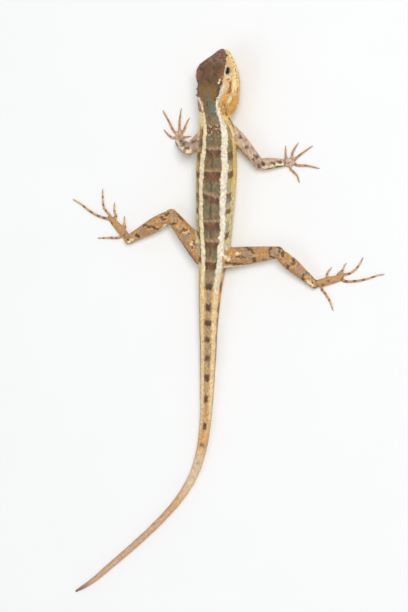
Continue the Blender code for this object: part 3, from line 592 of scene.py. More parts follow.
# Profiles of the head, each as distance behind the snout and the value there
CROWN_LOW = [
    (0.0, 0.1), (0.8, -0.25), (1.7, -0.5), (2.7, -0.8), (4.1, -1.0), (5.1, -0.5), (6.4, -0.4),
    (8.4, -0.4), (10.0, -0.25), (12.0, -0.2), (15.0, -0.3), (19.0, -0.5), (22.0, -1.2),
]
BROW_WIDTH = [
    (0.0, 0.9), (0.5, 1.4), (2.0, 2.5), (4.1, 4.35), (6.0, 5.75), (8.0, 6.35), (10.5, 6.25),
    (13.5, 5.65), (16.5, 5.15), (19.8, 4.6), (22.0, 4.0),
]
BROW_HEIGHT = [
    (0.0, -0.75), (0.5, -0.25), (2.0, 0.7), (4.1, 2.2), (6.0, 3.5), (8.0, 4.3), (10.5, 4.25),
    (13.5, 3.85), (16.5, 3.5), (19.8, 3.25), (22.0, 3.05),
]
LIP = [
    (0.0, 1.0), (0.5, 1.95), (2.0, 3.45), (4.1, 5.0), (6.0, 6.0), (8.0, 6.8), (10.5, 7.45),
    (13.5, 7.75), (16.5, 7.75), (19.8, 7.35), (22.0, 6.0),
]
MOUTH_HEIGHT = [
    (0.0, -1.8), (2.0, -1.75), (4.1, -1.85), (6.0, -2.0), (8.0, -2.2), (10.5, -2.5),
    (13.5, -2.8), (16.5, -2.9),
]
# Places as distance behind the snout, out and up; ovals as half length and half height
EYE_AT, EYE_RADIUS, LID_TILT = (7.2, 4.45, 1.35), 1.65, math.radians(16.0)
LID_OPENING = (1.42, 0.98)
EAR_AT, EAR_OVAL, EAR_RISE = (16.8, 6.75, -0.1), (1.3, 0.75), math.radians(22.0)
NOSTRIL_AT, NOSTRIL_RADIUS, NOSTRIL_DEPTH = (2.1, 2.8, -0.3), 0.25, 0.4
LID_GAZE = np.array([0.0, math.cos(LID_TILT), math.sin(LID_TILT)])
LID_RISE = np.array([0.0, -math.sin(LID_TILT), math.cos(LID_TILT)])
eye_opening = np.array(EYE_AT) + 2.05 * LID_GAZE


def profile(rows, back):
    """The values of a profile of the head at distances behind the snout."""
    return np.interp(back, *np.array(rows).T)


def from_run(points, start, run):
    """How far points are from a straight run, and their share of the way along it."""
    share = np.clip(((points - start) @ run) / max(run @ run, 1e-9), 0, 1)
    return np.linalg.norm(points - start - run * share[:, None], axis=1), share


def streak_distance(points, stops):
    """How far points are from a streak through the stops, less its radius there."""
    best = np.full(len(points), 1e9)
    for one, two in zip(stops, stops[1:] or stops):
        start = np.array(one[:3])
        gap, share = from_run(points, start, np.array(two[:3]) - start)
        best = np.minimum(best, gap - (one[3] + (two[3] - one[3]) * share))
    return best


def head_colours(points):
    """The colours of the head."""
    back, out, high = head_measure(points)
    wave, fine = mottle(points, 1.5, 13), mottle(points, 0.55, 14)
    sides = {way: np.column_stack([back, out * way, high]) for way in (1, -1)}
    sides[0] = np.column_stack([back, np.abs(out), high])

    def marks(rows, wobble):
        """Paints streaks and spots whose edges waver by so much."""
        for way, name, soft, strength, stops in rows:
            gap = streak_distance(sides[way], stops) + wobble * fine
            paint(colours, name, strength * step(gap, soft, -soft * 0.5))

    colours = np.tile(PAINT["face"], (len(points), 1))
    paint(colours, "cheek gold", step(back + wave, 12.0, 16.0))
    jowl = step(mottle(points, 0.9, 17), 0.1, 0.7) * step(back, 16.5, 18.5) * step(high, -2.0, 0.5)
    paint(colours, "flank dark", 0.35 * jowl)
    paint(colours, "lips", 0.8 * between(high + 0.2 * fine, -3.1, -0.9, 0.3) * step(back, 16, 12))
    paint(colours, "throat", step(high, -3.4, -4.6))
    paint(colours, "belly", 0.45 * step(high, -4.4, -5.3) * step(back, 3.0, 8.0))
    brow_high = profile(BROW_HEIGHT, back)
    low = profile(CROWN_LOW, back)
    over = high - brow_high - low + 0.12 * fine
    between_brows = step(np.abs(out), profile(BROW_WIDTH, back) - 0.3, 0.0)
    crown = np.maximum(step(over, -0.3, -0.05), (between_brows > 0.05) & (high > -0.6))
    rear = step(back, 11.5, 14.5)
    paint(colours, "crown", crown)
    paint(colours, "snout", crown * step(back, 6.5, 4.0))
    middle = np.interp(back, [0, 7, 11.5, 16, 19, 22], [0.1, 0.3, 0.3, 0.7, 1.0, 1.5])
    across = out - middle
    red = step(np.abs(out), 3.4, 5.2) * between(back, 6.0, 11.5, 1.2)
    paint(colours, "crown red", crown * (0.75 * red + 0.45 * step(wave, 0.3, 0.9) * (1 - rear)))
    ripple = np.sin((back + 0.2 * np.abs(across)) * 2 * math.pi / 1.1 + 0.9 * fine)
    paint(colours, "crown dark", 0.6 * crown * step(ripple, 0.2, 0.9) * step(back, 7.0, 4.5))
    paint(colours, "crown dark", 0.45 * crown * step(mottle(points, 0.9, 15), 0.25, 0.85))
    paint(colours, "nape olive", 0.85 * crown * rear)
    left_edge = np.interp(back, [13.8, 16.0, 17.5, 19.4, 23.0], [-0.1, -0.1, 0.0, 0.7, 0.9])
    right_edge = np.interp(back, [13.8, 16.0, 17.1, 18.9, 23.0], [0.3, 1.1, 2.0, 4.4, 4.6])
    grey = between(out + 0.2 * fine, left_edge, right_edge, 0.25) * step(back, 13.8, 15.2)
    paint(colours, "nape grey", crown * grey)
    ridge = between(out, middle - 0.35, middle + 0.1, 0.15) * step(back, 16.8, 17.8)
    paint(colours, "crown dark", 0.7 * crown * ridge)
    left_jowl = step(out - np.interp(back, [17.0, 19.0, 21.0, 23.0], [-5.5, -3.2, -1.4, -1.3]), 0.2, -0.2)
    paint(colours, "tan", crown * left_jowl * step(back, 17.5, 18.5) * (out < 0))
    marks(CROWN_SPOTS, 0.2)
    marks(HEAD_MARKS, 0.1)
    gaze_gap = np.linalg.norm(sides[0] - eye_opening, axis=1)
    paint(colours, "lid", 0.95 * step(gaze_gap + 0.15 * fine, 2.3, 1.8) * (1 - crown))
    mouth = np.abs(high - profile(MOUTH_HEIGHT, back))
    lip_out = profile(LIP, back)
    # The seam of the shut mouth is painted dark: painted shade between the lips
    shut = step(mouth, 0.22, 0.08) * step(lip_out - np.abs(out), 1.0, 0.6) * step(back, 16, 14.5)
    paint(colours, "leg dark", 0.75 * shut)
    dots = step(mottle(points, 0.8, 16), 0.75, 1.0) * between(high, -3.4, 0.5, 0.4)
    paint(colours, "flank dark", 0.4 * dots * step(back, 15, 13))
    # The nostril pit is painted black: painted shade in the hole
    hole = np.linalg.norm(sides[0] - NOSTRIL_AT, axis=1)
    paint(colours, "black", step(hole, 0.55, 0.35))
    flecks = streak_distance(sides[1], [(21.3, 1.75, 4.25, 0.2), (22.0, 1.6, 4.25, 0.2)])
    paint(colours, "cream", 0.8 * step(flecks, 0.15, -0.1))
    return colours


# Marks on the legs: colour, half width in millimetres, then the place along the length and the
# turn round it at each end of the mark
LEG_MARKS = {
    "thigh_right": [
        ("leg dark", 0.45, (0.45, -75), (0.6, -15)), ("leg dark", 0.35, (0.38, 2), (0.44, 14)),
        ("cream", 0.5, (0.32, -16), (0.34, -12)), ("leg dark", 0.3, (0.28, 4), (0.36, 8)),
        ("leg dark", 0.4, (0.64, -92), (0.78, -84)), ("leg dark", 0.45, (0.9, -65), (0.88, 14)),
        ("leg dark", 0.45, (0.61, 24), (0.57, 66)), ("leg dark", 0.35, (0.74, 60), (0.78, 74)),
        ("leg dark", 0.4, (0.08, 30), (0.45, 76)), ("cream", 0.7, (0.05, 62), (0.4, 100)),
        ("leg grey", 1.2, (0.98, -15), (0.98, 10)), ("leg dark", 0.5, (1.04, -60), (1.05, -20)),
        ("leg dark", 0.35, (0.9, 36), (0.94, 50)), ("leg grey", 0.9, (0.45, -10), (0.52, 10)),
        ("cream", 0.55, (0.1, -2), (0.15, 20)),
    ],
    "shank_right": [
        ("leg dark", 0.55, (0.05, -60), (0.12, -15)), ("leg dark", 0.5, (0.34, -58), (0.4, -22)),
        ("leg dark", 0.5, (0.4, -20), (0.35, 20)), ("leg dark", 0.55, (0.35, 20), (0.37, 62)),
        ("leg dark", 0.5, (0.71, -45), (0.72, 0)), ("leg dark", 0.55, (0.72, 0), (0.75, 36)),
        ("leg dark", 0.25, (0.72, -80), (0.98, -70)), ("leg dark", 0.5, (0.94, -8), (0.95, 4)),
        ("leg dark", 0.4, (1.03, 38), (1.06, 48)), ("cream", 0.5, (0.86, 20), (1.0, 26)),
        ("cream", 0.4, (0.1, -95), (0.3, -85)), ("leg grey", 0.7, (0.55, -20), (0.62, 10)),
    ],
    "thigh_left": [
        ("cream", 0.5, (0.37, -4), (0.38, 2)), ("leg dark", 0.4, (0.33, 12), (0.4, 18)),
        ("leg dark", 0.3, (0.31, -14), (0.35, -10)), ("toe gold", 0.45, (0.62, -2), (0.58, 36)),
        ("leg dark", 0.35, (0.67, -6), (0.63, 34)), ("leg dark", 0.3, (0.56, 0), (0.54, 30)),
        ("leg dark", 0.45, (0.92, 70), (0.78, 62)), ("leg dark", 0.45, (0.4, 60), (0.12, 54)),
        ("leg dark", 0.4, (0.7, -74), (0.1, -50)), ("leg dark", 0.4, (0.88, -45), (0.82, -6)),
        ("leg dark", 0.5, (1.04, 12), (1.03, -36)), ("leg grey", 0.9, (0.95, 20), (0.98, 40)),
        ("cream", 0.6, (0.05, -80), (0.5, -96)), ("leg grey", 0.9, (0.48, -20), (0.52, 5)),
    ],
    "shank_left": [
        ("leg dark", 0.5, (0.16, 18), (0.09, -20)), ("leg dark", 0.5, (0.55, 44), (0.46, 8)),
        ("leg dark", 0.55, (0.46, 4), (0.38, -26)), ("leg dark", 0.45, (0.38, -26), (0.33, -62)),
        ("black", 0.55, (0.77, -4), (0.75, -34)), ("leg dark", 0.45, (0.98, 0), (0.97, -8)),
        ("black", 0.45, (0.97, -78), (1.0, -86)), ("cream", 0.4, (0.88, -34), (1.0, -36)),
        ("leg grey", 0.7, (0.6, 10), (0.66, 0)), ("cream", 0.4, (0.15, -60), (0.28, -90)),
    ],
    "upper_arm_right": [
        ("arm dark", 0.4, (0.54, -24), (0.52, -10)), ("arm dark", 0.5, (0.86, -40), (0.8, -20)),
        ("arm dark", 0.4, (0.84, 6), (0.9, 20)), ("arm dark", 0.55, (1.02, 0), (1.06, 20)),
        ("tan", 0.5, (0.2, 60), (0.8, 70)), ("arm dark", 0.25, (0.25, -30), (0.3, -20)),
    ],
    "forearm_right": [
        ("cream", 0.42, (0.02, 46), (0.3, 52)), ("cream", 0.42, (0.3, 52), (0.72, 30)),
        ("cream", 0.4, (0.72, 30), (1.05, 26)), ("black", 0.45, (0.14, 0), (0.22, 4)),
        ("arm dark", 0.4, (0.58, 2), (0.64, 10)), ("arm dark", 0.4, (0.82, -12), (1.0, -6)),
        ("arm dark", 0.35, (0.3, 82), (0.5, 74)), ("black", 0.32, (0.74, 64), (1.0, 62)),
    ],
    "upper_arm_left": [
        ("arm dark", 0.5, (0.66, 10), (0.74, 24)), ("arm dark", 0.6, (1.03, 10), (1.06, 26)),
        ("cream", 0.4, (1.02, -44), (1.12, -10)), ("tan", 0.5, (0.3, 60), (0.6, 80)),
    ],
    "forearm_left": [
        ("cream", 0.42, (-0.1, -30), (0.35, -18)), ("cream", 0.42, (0.35, -18), (0.75, -4)),
        ("cream", 0.4, (0.75, -4), (1.05, 0)), ("black", 0.42, (0.78, -48), (1.02, -40)),
        ("arm dark", 0.5, (0.2, 20), (0.3, 40)), ("arm dark", 0.4, (0.5, 30), (0.7, 36)),
    ],
}


def leg_colours(points, name, share, turn):
    """The colours of a leg's upper or lower length."""
    line = lines[name]
    fore = "arm" in name
    length = line["length"][-1] / (1 + 2 * PAST_ENDS)
    radius = np.interp(share, line["keys"], line["radii"])
    wave, fine = mottle(points, 1.4, 23), mottle(points, 0.5, 24)
    colours = np.tile(PAINT["arm" if fore else "leg"], (len(points), 1))
    grain, lumps = mottle(points, 0.4, 25), mottle(points, 0.9, 26)
    if fore and name.endswith("left"):
        paint(colours, "arm dark", np.full(len(points), 0.28))
    paint(colours, "leg grey", 0.6 * step(wave, 0.0, 0.6))
    paint(colours, "toe gold", (0.2 if fore else 0.45) * step(lumps, 0.25, 0.8))
    paint(colours, "arm dark" if fore else "leg dark", 0.35 * step(fine, 0.4, 0.8))
    paint(colours, "leg dark", 0.25 * step(grain, 0.4, 0.8))
    paint(colours, "cream", 0.85 * step(np.abs(turn) + 6 * fine, 100.0, 128.0))
    paint(colours, "toe gold", 0.35 * between(np.abs(turn), 70, 115, 12))
    warp = 0.3 * np.column_stack([mottle(points, 0.8, 27), mottle(points, 0.8, 28)])
    girth = float(np.median(radius))
    for colour, half, start, end in LEG_MARKS[name]:
        begin = np.array([start[0] * length, 0.0])
        run = np.array([end[0] * length, math.radians(end[1] - start[1]) * girth]) - begin
        far = np.radians((turn - start[1] + 180) % 360 - 180) * radius
        own = np.column_stack([share * length, far]) - begin + warp
        gap = from_run(own, 0.0, run)[0] + 0.15 * grain
        if colour in ("leg dark", "black") and not fore:
            paint(colours, "toe gold", 0.4 * step(gap, half + 0.7, half + 0.2))
        paint(colours, colour, 0.92 * step(gap, half + 0.25, half - 0.05))
    return colours


# Bands on each toe, by the share of its length, and spots on the sole in the animal's own measure
TOE_BANDS = {
    "foot_right": [[0.35], [0.15, 0.6], [0.3, 0.7], [0.12, 0.33, 0.55, 0.8], [0.06, 0.28, 0.62]],
    "foot_left": [[0.3], [0.12, 0.55], [0.25, 0.5, 0.8], [0.08, 0.26, 0.46, 0.7], [0.2, 0.42, 0.8]],
    "hand_right": [[], [0.2], [0.35], [0.05, 0.5], [0.4]],
    "hand_left": [[], [0.3], [0.3, 0.7], [0.25, 0.6], [0.4]],
}
SOLE_SPOTS = [
    (39.0, -28.6, 0.55), (37.1, -29.8, 0.5), (43.6, -28.2, 0.55), (36.5, -31.2, 0.5),
    (-39.8, -7.7, 0.5), (-41.8, -6.0, 0.5), (-36.4, -12.8, 0.5), (-34.5, -12.0, 0.5),
    (-38.5, -5.6, 0.45), (27.0, 11.4, 0.4), (24.8, 12.0, 0.35), (-14.6, 22.4, 0.35),
]


def foot_colours(points, foot, toe, share, turn):
    """The colours of a hand or foot. toe is -1 on the palm or sole."""
    fore = foot.startswith("hand")
    wave, fine = mottle(points, 1.0, 33), mottle(points, 0.35, 34)
    on_sole = toe < 0
    colours = np.tile(PAINT["toe"], (len(points), 1))
    paint(colours, "arm" if fore else "leg", 0.8 * on_sole + 0.35 * step(share, 0.5, 0.0) * ~on_sole)
    paint(colours, "toe gold", ~on_sole * step(share, 0.4, 0.9) * (0.4 if fore else 0.9))
    paint(colours, "leg grey", 0.4 * step(wave, 0.1, 0.8) * on_sole)
    paint(colours, "toe dark", 0.25 * step(fine, 0.3, 0.8))
    ridge = (np.abs(turn) < 40) & ~on_sole & fore
    paint(colours, "arm dark", 0.3 * ridge)
    paint(colours, "cream", 0.8 * step(np.abs(turn), 95.0, 125.0))
    for i, bands in enumerate(TOE_BANDS[foot]):
        for band in bands:
            width = 0.05 if fore else 0.045
            dark = between(share + 0.012 * fine, band - width, band + width, 0.018)
            strength = 0.5 if fore else 0.85
            paint(colours, "toe dark", strength * dark * (toe == i) * step(np.abs(turn), 120, 80))
    for x, y, radius in SOLE_SPOTS:
        gap = np.hypot(points[:, 0] - x, points[:, 1] - y) + 0.12 * fine
        shown = step(gap, radius + 0.15, radius - 0.15) * step(np.abs(turn), 110, 80)
        paint(colours, "toe dark", 0.8 * shown * on_sole)
    return colours


# The skin. One unbroken hide over the whole animal, drawn over copies of the solids: their
# thin cuts are closed, their coarse spines and claws pressed back, and the whole pulled in
# by the depth of the coat, so that the scales that grow on it fill the solids' own outline.
FLESH = ["head", "neck", "torso", "tail_base", "tail_front", "tail_middle", "tail_rear", "tail_tip"]
for leg in ("arm_left", "leg_left", "arm_right", "leg_right"):
    FLESH += leg_names(leg)
BODY = FLESH[1:8]
DRUMS = ["eardrum_left", "eardrum_right"]
# In millimetres: the swell that closes thin cuts, the depth of the coat and the voxels' size,
# then how proud a spine has to be to be pressed back, and the skin's height where it lies flat
SWELL, COAT_DEPTH, VOXEL = 0.2, 0.13, 0.2
CREST_CUT, SKIN_FLOOR = 0.12, 0.02
# The power that makes the body's sections a little squarer than ovals
SECTION_POWER, MOST_TRIANGLES = 2.25, 175000

# The hide runs on under the eardrums, but node_of counts only the solids of flesh
solids, flesh_verts, flesh_faces, face_node = {}, [], [], []
for number, name in enumerate(FLESH + DRUMS):
    bm = bmesh.new()
    bm.from_mesh(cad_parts[name].data)
    bmesh.ops.remove_doubles(bm, verts=bm.verts, dist=1e-6)
    verts = np.array([v.co for v in bm.verts]) / MM - ZERO
    faces = [tuple(v.index for v in f.verts) for f in bm.faces]
    bm.free()
    solids[name] = (verts, faces)
    if name not in FLESH:
        continue
    first = sum(len(v) for v in flesh_verts)
    flesh_verts.append(verts)
    flesh_faces += [tuple(i + first for i in face) for face in faces]
    face_node += [number] * len(faces)
node_tree = BVHTree.FromPolygons(np.concatenate(flesh_verts).tolist(), flesh_faces)
face_node = np.array(face_node)


def node_of(points):
    """The number in FLESH of the solid that is nearest to each point."""
    found = [node_tree.find_nearest(Vector(point))[2] for point in points]
    return face_node[found]


def body_reach(key, turn):
    """How far the surface of neck, trunk or tail is from its line, at a turn round it."""
    sizes = smooth_rows(SPINE, key)
    s, c = np.sin(np.radians(turn)), np.cos(np.radians(turn))
    rise = np.where(c > 0, sizes[:, 3], sizes[:, 4])
    round_off = (np.abs(s) / sizes[:, 2]) ** SECTION_POWER + (np.abs(c) / rise) ** SECTION_POWER
    return round_off ** (-1 / SECTION_POWER)


def press_crest(verts):
    """Presses the spines of a solid's crest back into its round section."""
    key, turn, far, nearest = along(lines["body"], verts)
    surface = body_reach(key, turn)
    proud = far > surface + CREST_CUT
    keep = np.where(proud, (surface - 0.25) / np.maximum(far, 1e-6), 1.0)
    middle = lines["body"]["points"][nearest]
    return np.where(proud[:, None], middle + (verts - middle) * keep[:, None], verts)


def press_spine(verts, root, way, low, high, beside, left):
    """Presses what stands out from a root back along its way, to the depth that is left."""
    far = (verts - root) @ way
    aside = np.linalg.norm(verts - root - far[:, None] * way, axis=1)
    proud = (far > low) & (far < high) & (aside < beside)
    return np.where(proud[:, None], verts - (far[:, None] - left) * way, verts)


def press_temples(verts):
    """Presses the spines over the solid's ears back into the temple."""
    for way in (1.0, -1.0):
        lean = unit(head_side * way + head_top * 0.8)
        for back, width, high in ((14.4, 5.5, 3.2), (16.4, 5.4, 3.2)):
            root = in_head(back, width, high, way)
            verts = press_spine(verts, root, lean, 0.25, math.inf, 1.3, -0.2)
    return verts


def press_claws(foot, verts):
    """Presses each claw of a solid's foot back into the end of its toe."""
    for i in range(5):
        line = lines[f"{foot}_toe_{i}"]
        ahead = line["ahead"][-1] * (1, 1, 0)
        verts = press_spine(verts, line["points"][-1], ahead, 0.2, 1.8, 0.8, 0.15)
    return verts


def read_out(items, name, kind=float, width=3):
    """One value of every item of a mesh, as rows of so many numbers."""
    values = np.empty(len(items) * width, kind)
    items.foreach_get(name, values)
    return values.reshape(-1, width)


def after_modifier(mesh, kind, **settings):
    """The mesh as one modifier with those settings leaves it."""
    holder = new_object("hide", mesh, None)
    modifier = holder.modifiers.new("hide", kind)
    for name, value in settings.items():
        setattr(modifier, name, value)
    graph = bpy.context.evaluated_depsgraph_get()
    made = bpy.data.meshes.new_from_object(holder.evaluated_get(graph))
    bpy.data.objects.remove(holder)
    return made


bm = bmesh.new()
for name in FLESH + DRUMS:
    verts, faces = solids[name]
    if name in BODY[:2]:
        verts = press_crest(verts)
    elif name == "head":
        verts = press_temples(verts)
    elif name in TOES:
        verts = press_claws(name, verts)
    mesh = bpy.data.meshes.new(name)
    mesh.from_pydata(verts.tolist(), [], faces)
    mesh.update()
    verts = verts + SWELL * read_out(mesh.vertex_normals, "vector")
    mesh.vertices.foreach_set("co", verts.ravel())
    bm.from_mesh(mesh)
    bpy.data.meshes.remove(mesh)
bmesh.ops.triangulate(bm, faces=bm.faces)
whole = after_modifier(mesh_of(bm, "hide"), "REMESH", mode="VOXEL", voxel_size=VOXEL)

verts, normals = read_out(whole.vertices, "co"), read_out(whole.vertex_normals, "vector")
edges = read_out(whole.edges, "vertices", int, 2)
valence = np.bincount(edges.ravel(), minlength=len(verts)).astype(float)


def smoothed(values, weight, times):
    """Evens values out between neighbours, by a weight for each point."""
    for _ in range(times):
        total = np.empty_like(values)
        for i in range(values.shape[1]):
            total[:, i] = np.bincount(edges[:, 0], values[edges[:, 1], i], len(values))
            total[:, i] += np.bincount(edges[:, 1], values[edges[:, 0], i], len(values))
        values = values + weight[:, None] * (total / valence[:, None] - values)
    return values


normals = unit(smoothed(normals, np.full(len(verts), 0.6), 2))
verts = verts - (SWELL + COAT_DEPTH) * normals
# The creases where a leg leaves the body are eased into webs of skin
body_key, body_turn, body_far, _ = along(lines["body"], verts)
body_gap = np.abs(body_far - body_reach(body_key, body_turn))
web = np.zeros(len(verts))
for name in ("upper_arm_right", "upper_arm_left", "thigh_right", "thigh_left"):
    line = lines[name]
    key, _, far, nearest = along(line, verts)
    gap = np.abs(far - line["radii"][nearest]) + body_gap
    web = np.maximum(web, step(gap, 3.2, 0.6) * (np.abs(key - 0.3) < 0.5))
back, _, _ = head_measure(verts)
nape = step(np.abs(back - 22.3), 3.0, 0.8) * (verts[:, 1] > 24)
verts = smoothed(verts, np.full(len(verts), 0.12), 3)
verts = smoothed(verts, 0.6 * np.maximum(web, 0.8 * nape), 30)
# Each nostril is a small pit
for way in (1.0, -1.0):
    pit = in_head(*NOSTRIL_AT, way)
    gaps = np.linalg.norm(verts - pit, axis=1)
    middle = gaps.argmin()
    gaps = np.linalg.norm(verts - verts[middle], axis=1)
    verts = verts - normals[middle] * NOSTRIL_DEPTH * step(gaps, 0.5, 0.1)[:, None]
verts[:, 2] = np.maximum(verts[:, 2], SKIN_FLOOR)
whole.vertices.foreach_set("co", verts.ravel())
whole.update()
# The voxels leave faces of four corners, so the hide has twice as many triangles
whole = after_modifier(whole, "DECIMATE", ratio=MOST_TRIANGLES / (len(whole.polygons) * 2))
verts, skin_normals = read_out(whole.vertices, "co"), read_out(whole.vertex_normals, "vector")
bm = bmesh.new()
bm.from_mesh(whole)
bmesh.ops.triangulate(bm, faces=bm.faces)
bm.to_mesh(whole)
bm.free()
faces = read_out(whole.polygons, "vertices", int, 3)
skin_tree = BVHTree.FromPolygons(verts.tolist(), faces.tolist())


def toe_of(foot, points):
    """Which toe of a foot each point is on, -1 for the palm or sole, and its place and turn."""
    sole = along(lines[foot], points)
    best = sole[2] - np.interp(sole[0], lines[foot]["keys"], lines[foot]["radii"])
    # Past its end the sole gives way to the toes
    best += 0.35 * np.maximum(sole[0] - 1.0, 0.0) * 9.0
    toe, share, turn = np.full(len(points), -1), sole[0].copy(), sole[1].copy()
    for i in range(5):
        line = lines[f"{foot}_toe_{i}"]
        key, around, _, nearest = along(line, points)
        beyond = np.linalg.norm(points - line["points"][nearest], axis=1)
        gap = beyond - line["radii"][nearest] + 2.0 * np.maximum(0.02 - key, 0.0)
        nearer = gap < best
        best = np.where(nearer, gap, best)
        toe[nearer], share[nearer], turn[nearer] = i, key[nearer], around[nearer]
    return toe, share, turn


def place_on(name, points):
    """The toe, place along its line and turn round it of points on the solid of that name."""
    if name in TOES:
        return toe_of(name, points)
    key, turn, _, _ = along(lines["body" if name in BODY else name], points)
    return None, key, turn


def markings(points, nodes):
    """The colours of points on the skin, each on the solid of that number."""
    points = np.asarray(points, float)
    colours = np.zeros((len(points), 3))
    for number, name in enumerate(FLESH):
        on = nodes == number
        if not on.any():
            continue
        some = points[on]
        toe, key, turn = place_on(name, some)
        if name == "head":
            colours[on] = head_colours(some)
        elif name in BODY:
            colours[on] = body_colours(some, key, turn)
        elif name in TOES:
            colours[on] = foot_colours(some, name, toe, key, turn)
        else:
            colours[on] = leg_colours(some, name, key, turn)
    return colours


# The unwrap of the skin: each length of the body has its own rectangle, with its length
# across and the way round it up, from the underside over the back to the underside again
SHEETS = {
    "head": (0.01, 0.3, 0.3, 0.53),
    "neck": (0.01, 0.6, 0.55, 0.99),
    "tail_base": (0.62, 0.99, 0.55, 0.99),
}
for i, leg in enumerate(LEGS):
    upper, lower, foot = leg_names(leg)
    low, left = 0.305 + 0.058 * i, 0.01 + 0.247 * i
    SHEETS[upper] = (0.33, 0.64, low, low + 0.048)
    SHEETS[lower] = (0.67, 0.98, low, low + 0.048)
    for toe in range(-1, 5):
        low = 0.01 + 0.046 * (toe + 1)
        SHEETS[f"{foot} {toe}"] = (left, left + 0.23, low, low + 0.038)


def unwrap(points, nodes):
    """The place of points on the unwrap, each taken as on the solid of that number."""
    flat = np.zeros((len(points), 2))
    for number, name in enumerate(FLESH):
        on = nodes == number
        if not on.any():
            continue
        toe, key, turn = place_on(name, points[on])
        # Neck and torso share a sheet, and so do all the lengths of the tail
        sheet_name, share = name, (key + 0.15) / 1.3
        if name == "head":
            share = key / HEAD_LENGTH
        elif name in ("neck", "torso"):
            sheet_name, share = "neck", (32.0 - key) / 56.1
        elif name in BODY:
            sheet_name, share = "tail_base", (-23.8 - key) / 115.6
        if name in TOES:
            share = np.clip(key, -0.1, 1.1) * 0.82 + 0.09
            sheet = np.array([SHEETS[f"{name} {t}"] for t in toe])
        else:
            sheet = np.array([SHEETS[sheet_name]] * len(key))
        flat[on, 0] = sheet[:, 0] + (sheet[:, 1] - sheet[:, 0]) * np.clip(share, 0, 1)
        flat[on, 1] = sheet[:, 2] + (sheet[:, 3] - sheet[:, 2]) * (turn / 360 + 0.5)
    return flat


def set_colours(mesh, colours):
    """Keeps the colours of a mesh's points as the attribute that its material reads."""
    layer = mesh.color_attributes.new("markings", "FLOAT_COLOR", "POINT")
    full = np.ones((len(colours), 4), np.float32)
    full[:, :3] = np.clip(colours, 0, 1)
    layer.data.foreach_set("color", full.ravel())


def set_unwrap(mesh, corners):
    """Keeps the place of each corner of a mesh's faces on the unwrap."""
    layer = mesh.uv_layers.new(name="OFBake")
    layer.data.foreach_set("uv", np.asarray(corners, np.float32).ravel())


# Between the scales the hide is painted darker than they are: painted shade in the gaps under the scales
set_colours(whole, markings(verts, node_of(verts)) * 0.6)
middles = verts[faces].mean(axis=1)
middle_nodes = node_of(middles)
middle_flat = unwrap(middles, middle_nodes)
corner_flat = unwrap(verts[faces].reshape(-1, 3), np.repeat(middle_nodes, 3)).reshape(-1, 3, 2)
corner_flat = middle_flat[:, None] + np.clip(corner_flat - middle_flat[:, None], -0.004, 0.004)
set_unwrap(whole, corner_flat)


def marked_finish(name, roughness, specular, lumps, detail, strength, depth):
    """A finish in the colours of the markings, in low relief with so many lumps to a metre."""
    material, shader = new_material(name, roughness, Specular_IOR_Level=specular)
    tint = add_node(material, "ShaderNodeAttribute", attribute_name="markings")
    where = add_node(material, "ShaderNodeTexCoord")
    uneven = add_node(
        material, "ShaderNodeTexNoise", {"Scale": lumps, "Detail": detail},
        {"Vector": where.outputs["Object"]},
    )
    relief = add_node(
        material, "ShaderNodeBump", {"Strength": strength, "Distance": depth},
        {"Height": uneven.outputs["Fac"]},
    )
    material.node_tree.links.new(tint.outputs["Color"], shader.inputs["Base Color"])
    material.node_tree.links.new(relief.outputs["Normal"], shader.inputs["Normal"])
    return material, shader, tint, uneven


# Lizard hide between the scales: thin, dry and finely wrinkled, its colour painted darker than the scales
# as painted shade in the gaps, with wrinkles about 0.3 mm apart and the dull sheen of dry skin
hide_finish = marked_finish("dry lizard hide", 0.6, 0.35, 3300.0, 2.0, 0.4, 0.00006)[0]


def finish_piece(name, mesh, material, sharp=None):
    """A mesh in the animal's own millimetres as a finished piece in its place in the frame.

    Edges that turn by more than sharp degrees stay crisp.
    """
    mesh.name = name
    mesh.materials.clear()
    mesh.materials.append(material)
    mesh.transform(Matrix.Translation(place((0.0, 0.0, 0.0))) @ Matrix.Scale(MM, 4))
    mesh.update()
    mesh.shade_smooth()
    if sharp is not None:
        mesh.set_sharp_from_angle(angle=math.radians(sharp))
    return new_object(name, mesh)


skin = finish_piece("skin", whole, hide_finish)
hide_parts(*FLESH)


# The keeled scales. Each is a leaf of keratin with a ridge down its middle, its root under
# the scales before it and its point standing a little proud. They grow in rings round the
# body, legs and toes, each ring half a scale on, so they overlap like shingles to the rear.
# A leaf's length and the part of it before its middle, for a scale one unit long, and how high
# above the floor, in millimetres, the lowest points of scales are
LEAF_LENGTH, LEAF_ROOT, SCALE_FLOOR = 1.2, 0.58, 0.005


def shape_in(bm):
    """The points and triangles of a small finished bmesh that is copied many times."""
    bmesh.ops.triangulate(bm, faces=bm.faces)
    shape = np.array([v.co for v in bm.verts])
    triangles = np.array([[v.index for v in f.verts] for f in bm.faces])
    bm.free()
    return shape, triangles


def leaf(columns):
    """A closed leaf one unit wide and long, pointed at the rear, with its ridge along it."""
    bm = bmesh.new()
    bmesh.ops.create_grid(bm, x_segments=columns, y_segments=4, size=0.5)
    for vert in bm.verts:
        share, across = vert.co.y + 0.5, vert.co.x * 2
        half = float(np.interp(share, (0, 0.25, 0.5, 0.75, 1), (0.32, 0.5, 0.5, 0.36, 0.03)))
        ridge = 0.17 * (1 - abs(across)) ** 0.8 * math.sin(math.pi * (0.12 + 0.76 * share))
        vert.co = (across * half, LEAF_LENGTH * share - LEAF_ROOT, 0.26 * share - 0.1 + ridge)
    bmesh.ops.holes_fill(bm, edges=bm.edges)
    bmesh.ops.recalc_face_normals(bm, faces=bm.faces)
    return shape_in(bm)


BROAD_LEAF, PLAIN_LEAF = leaf(4), leaf(2)

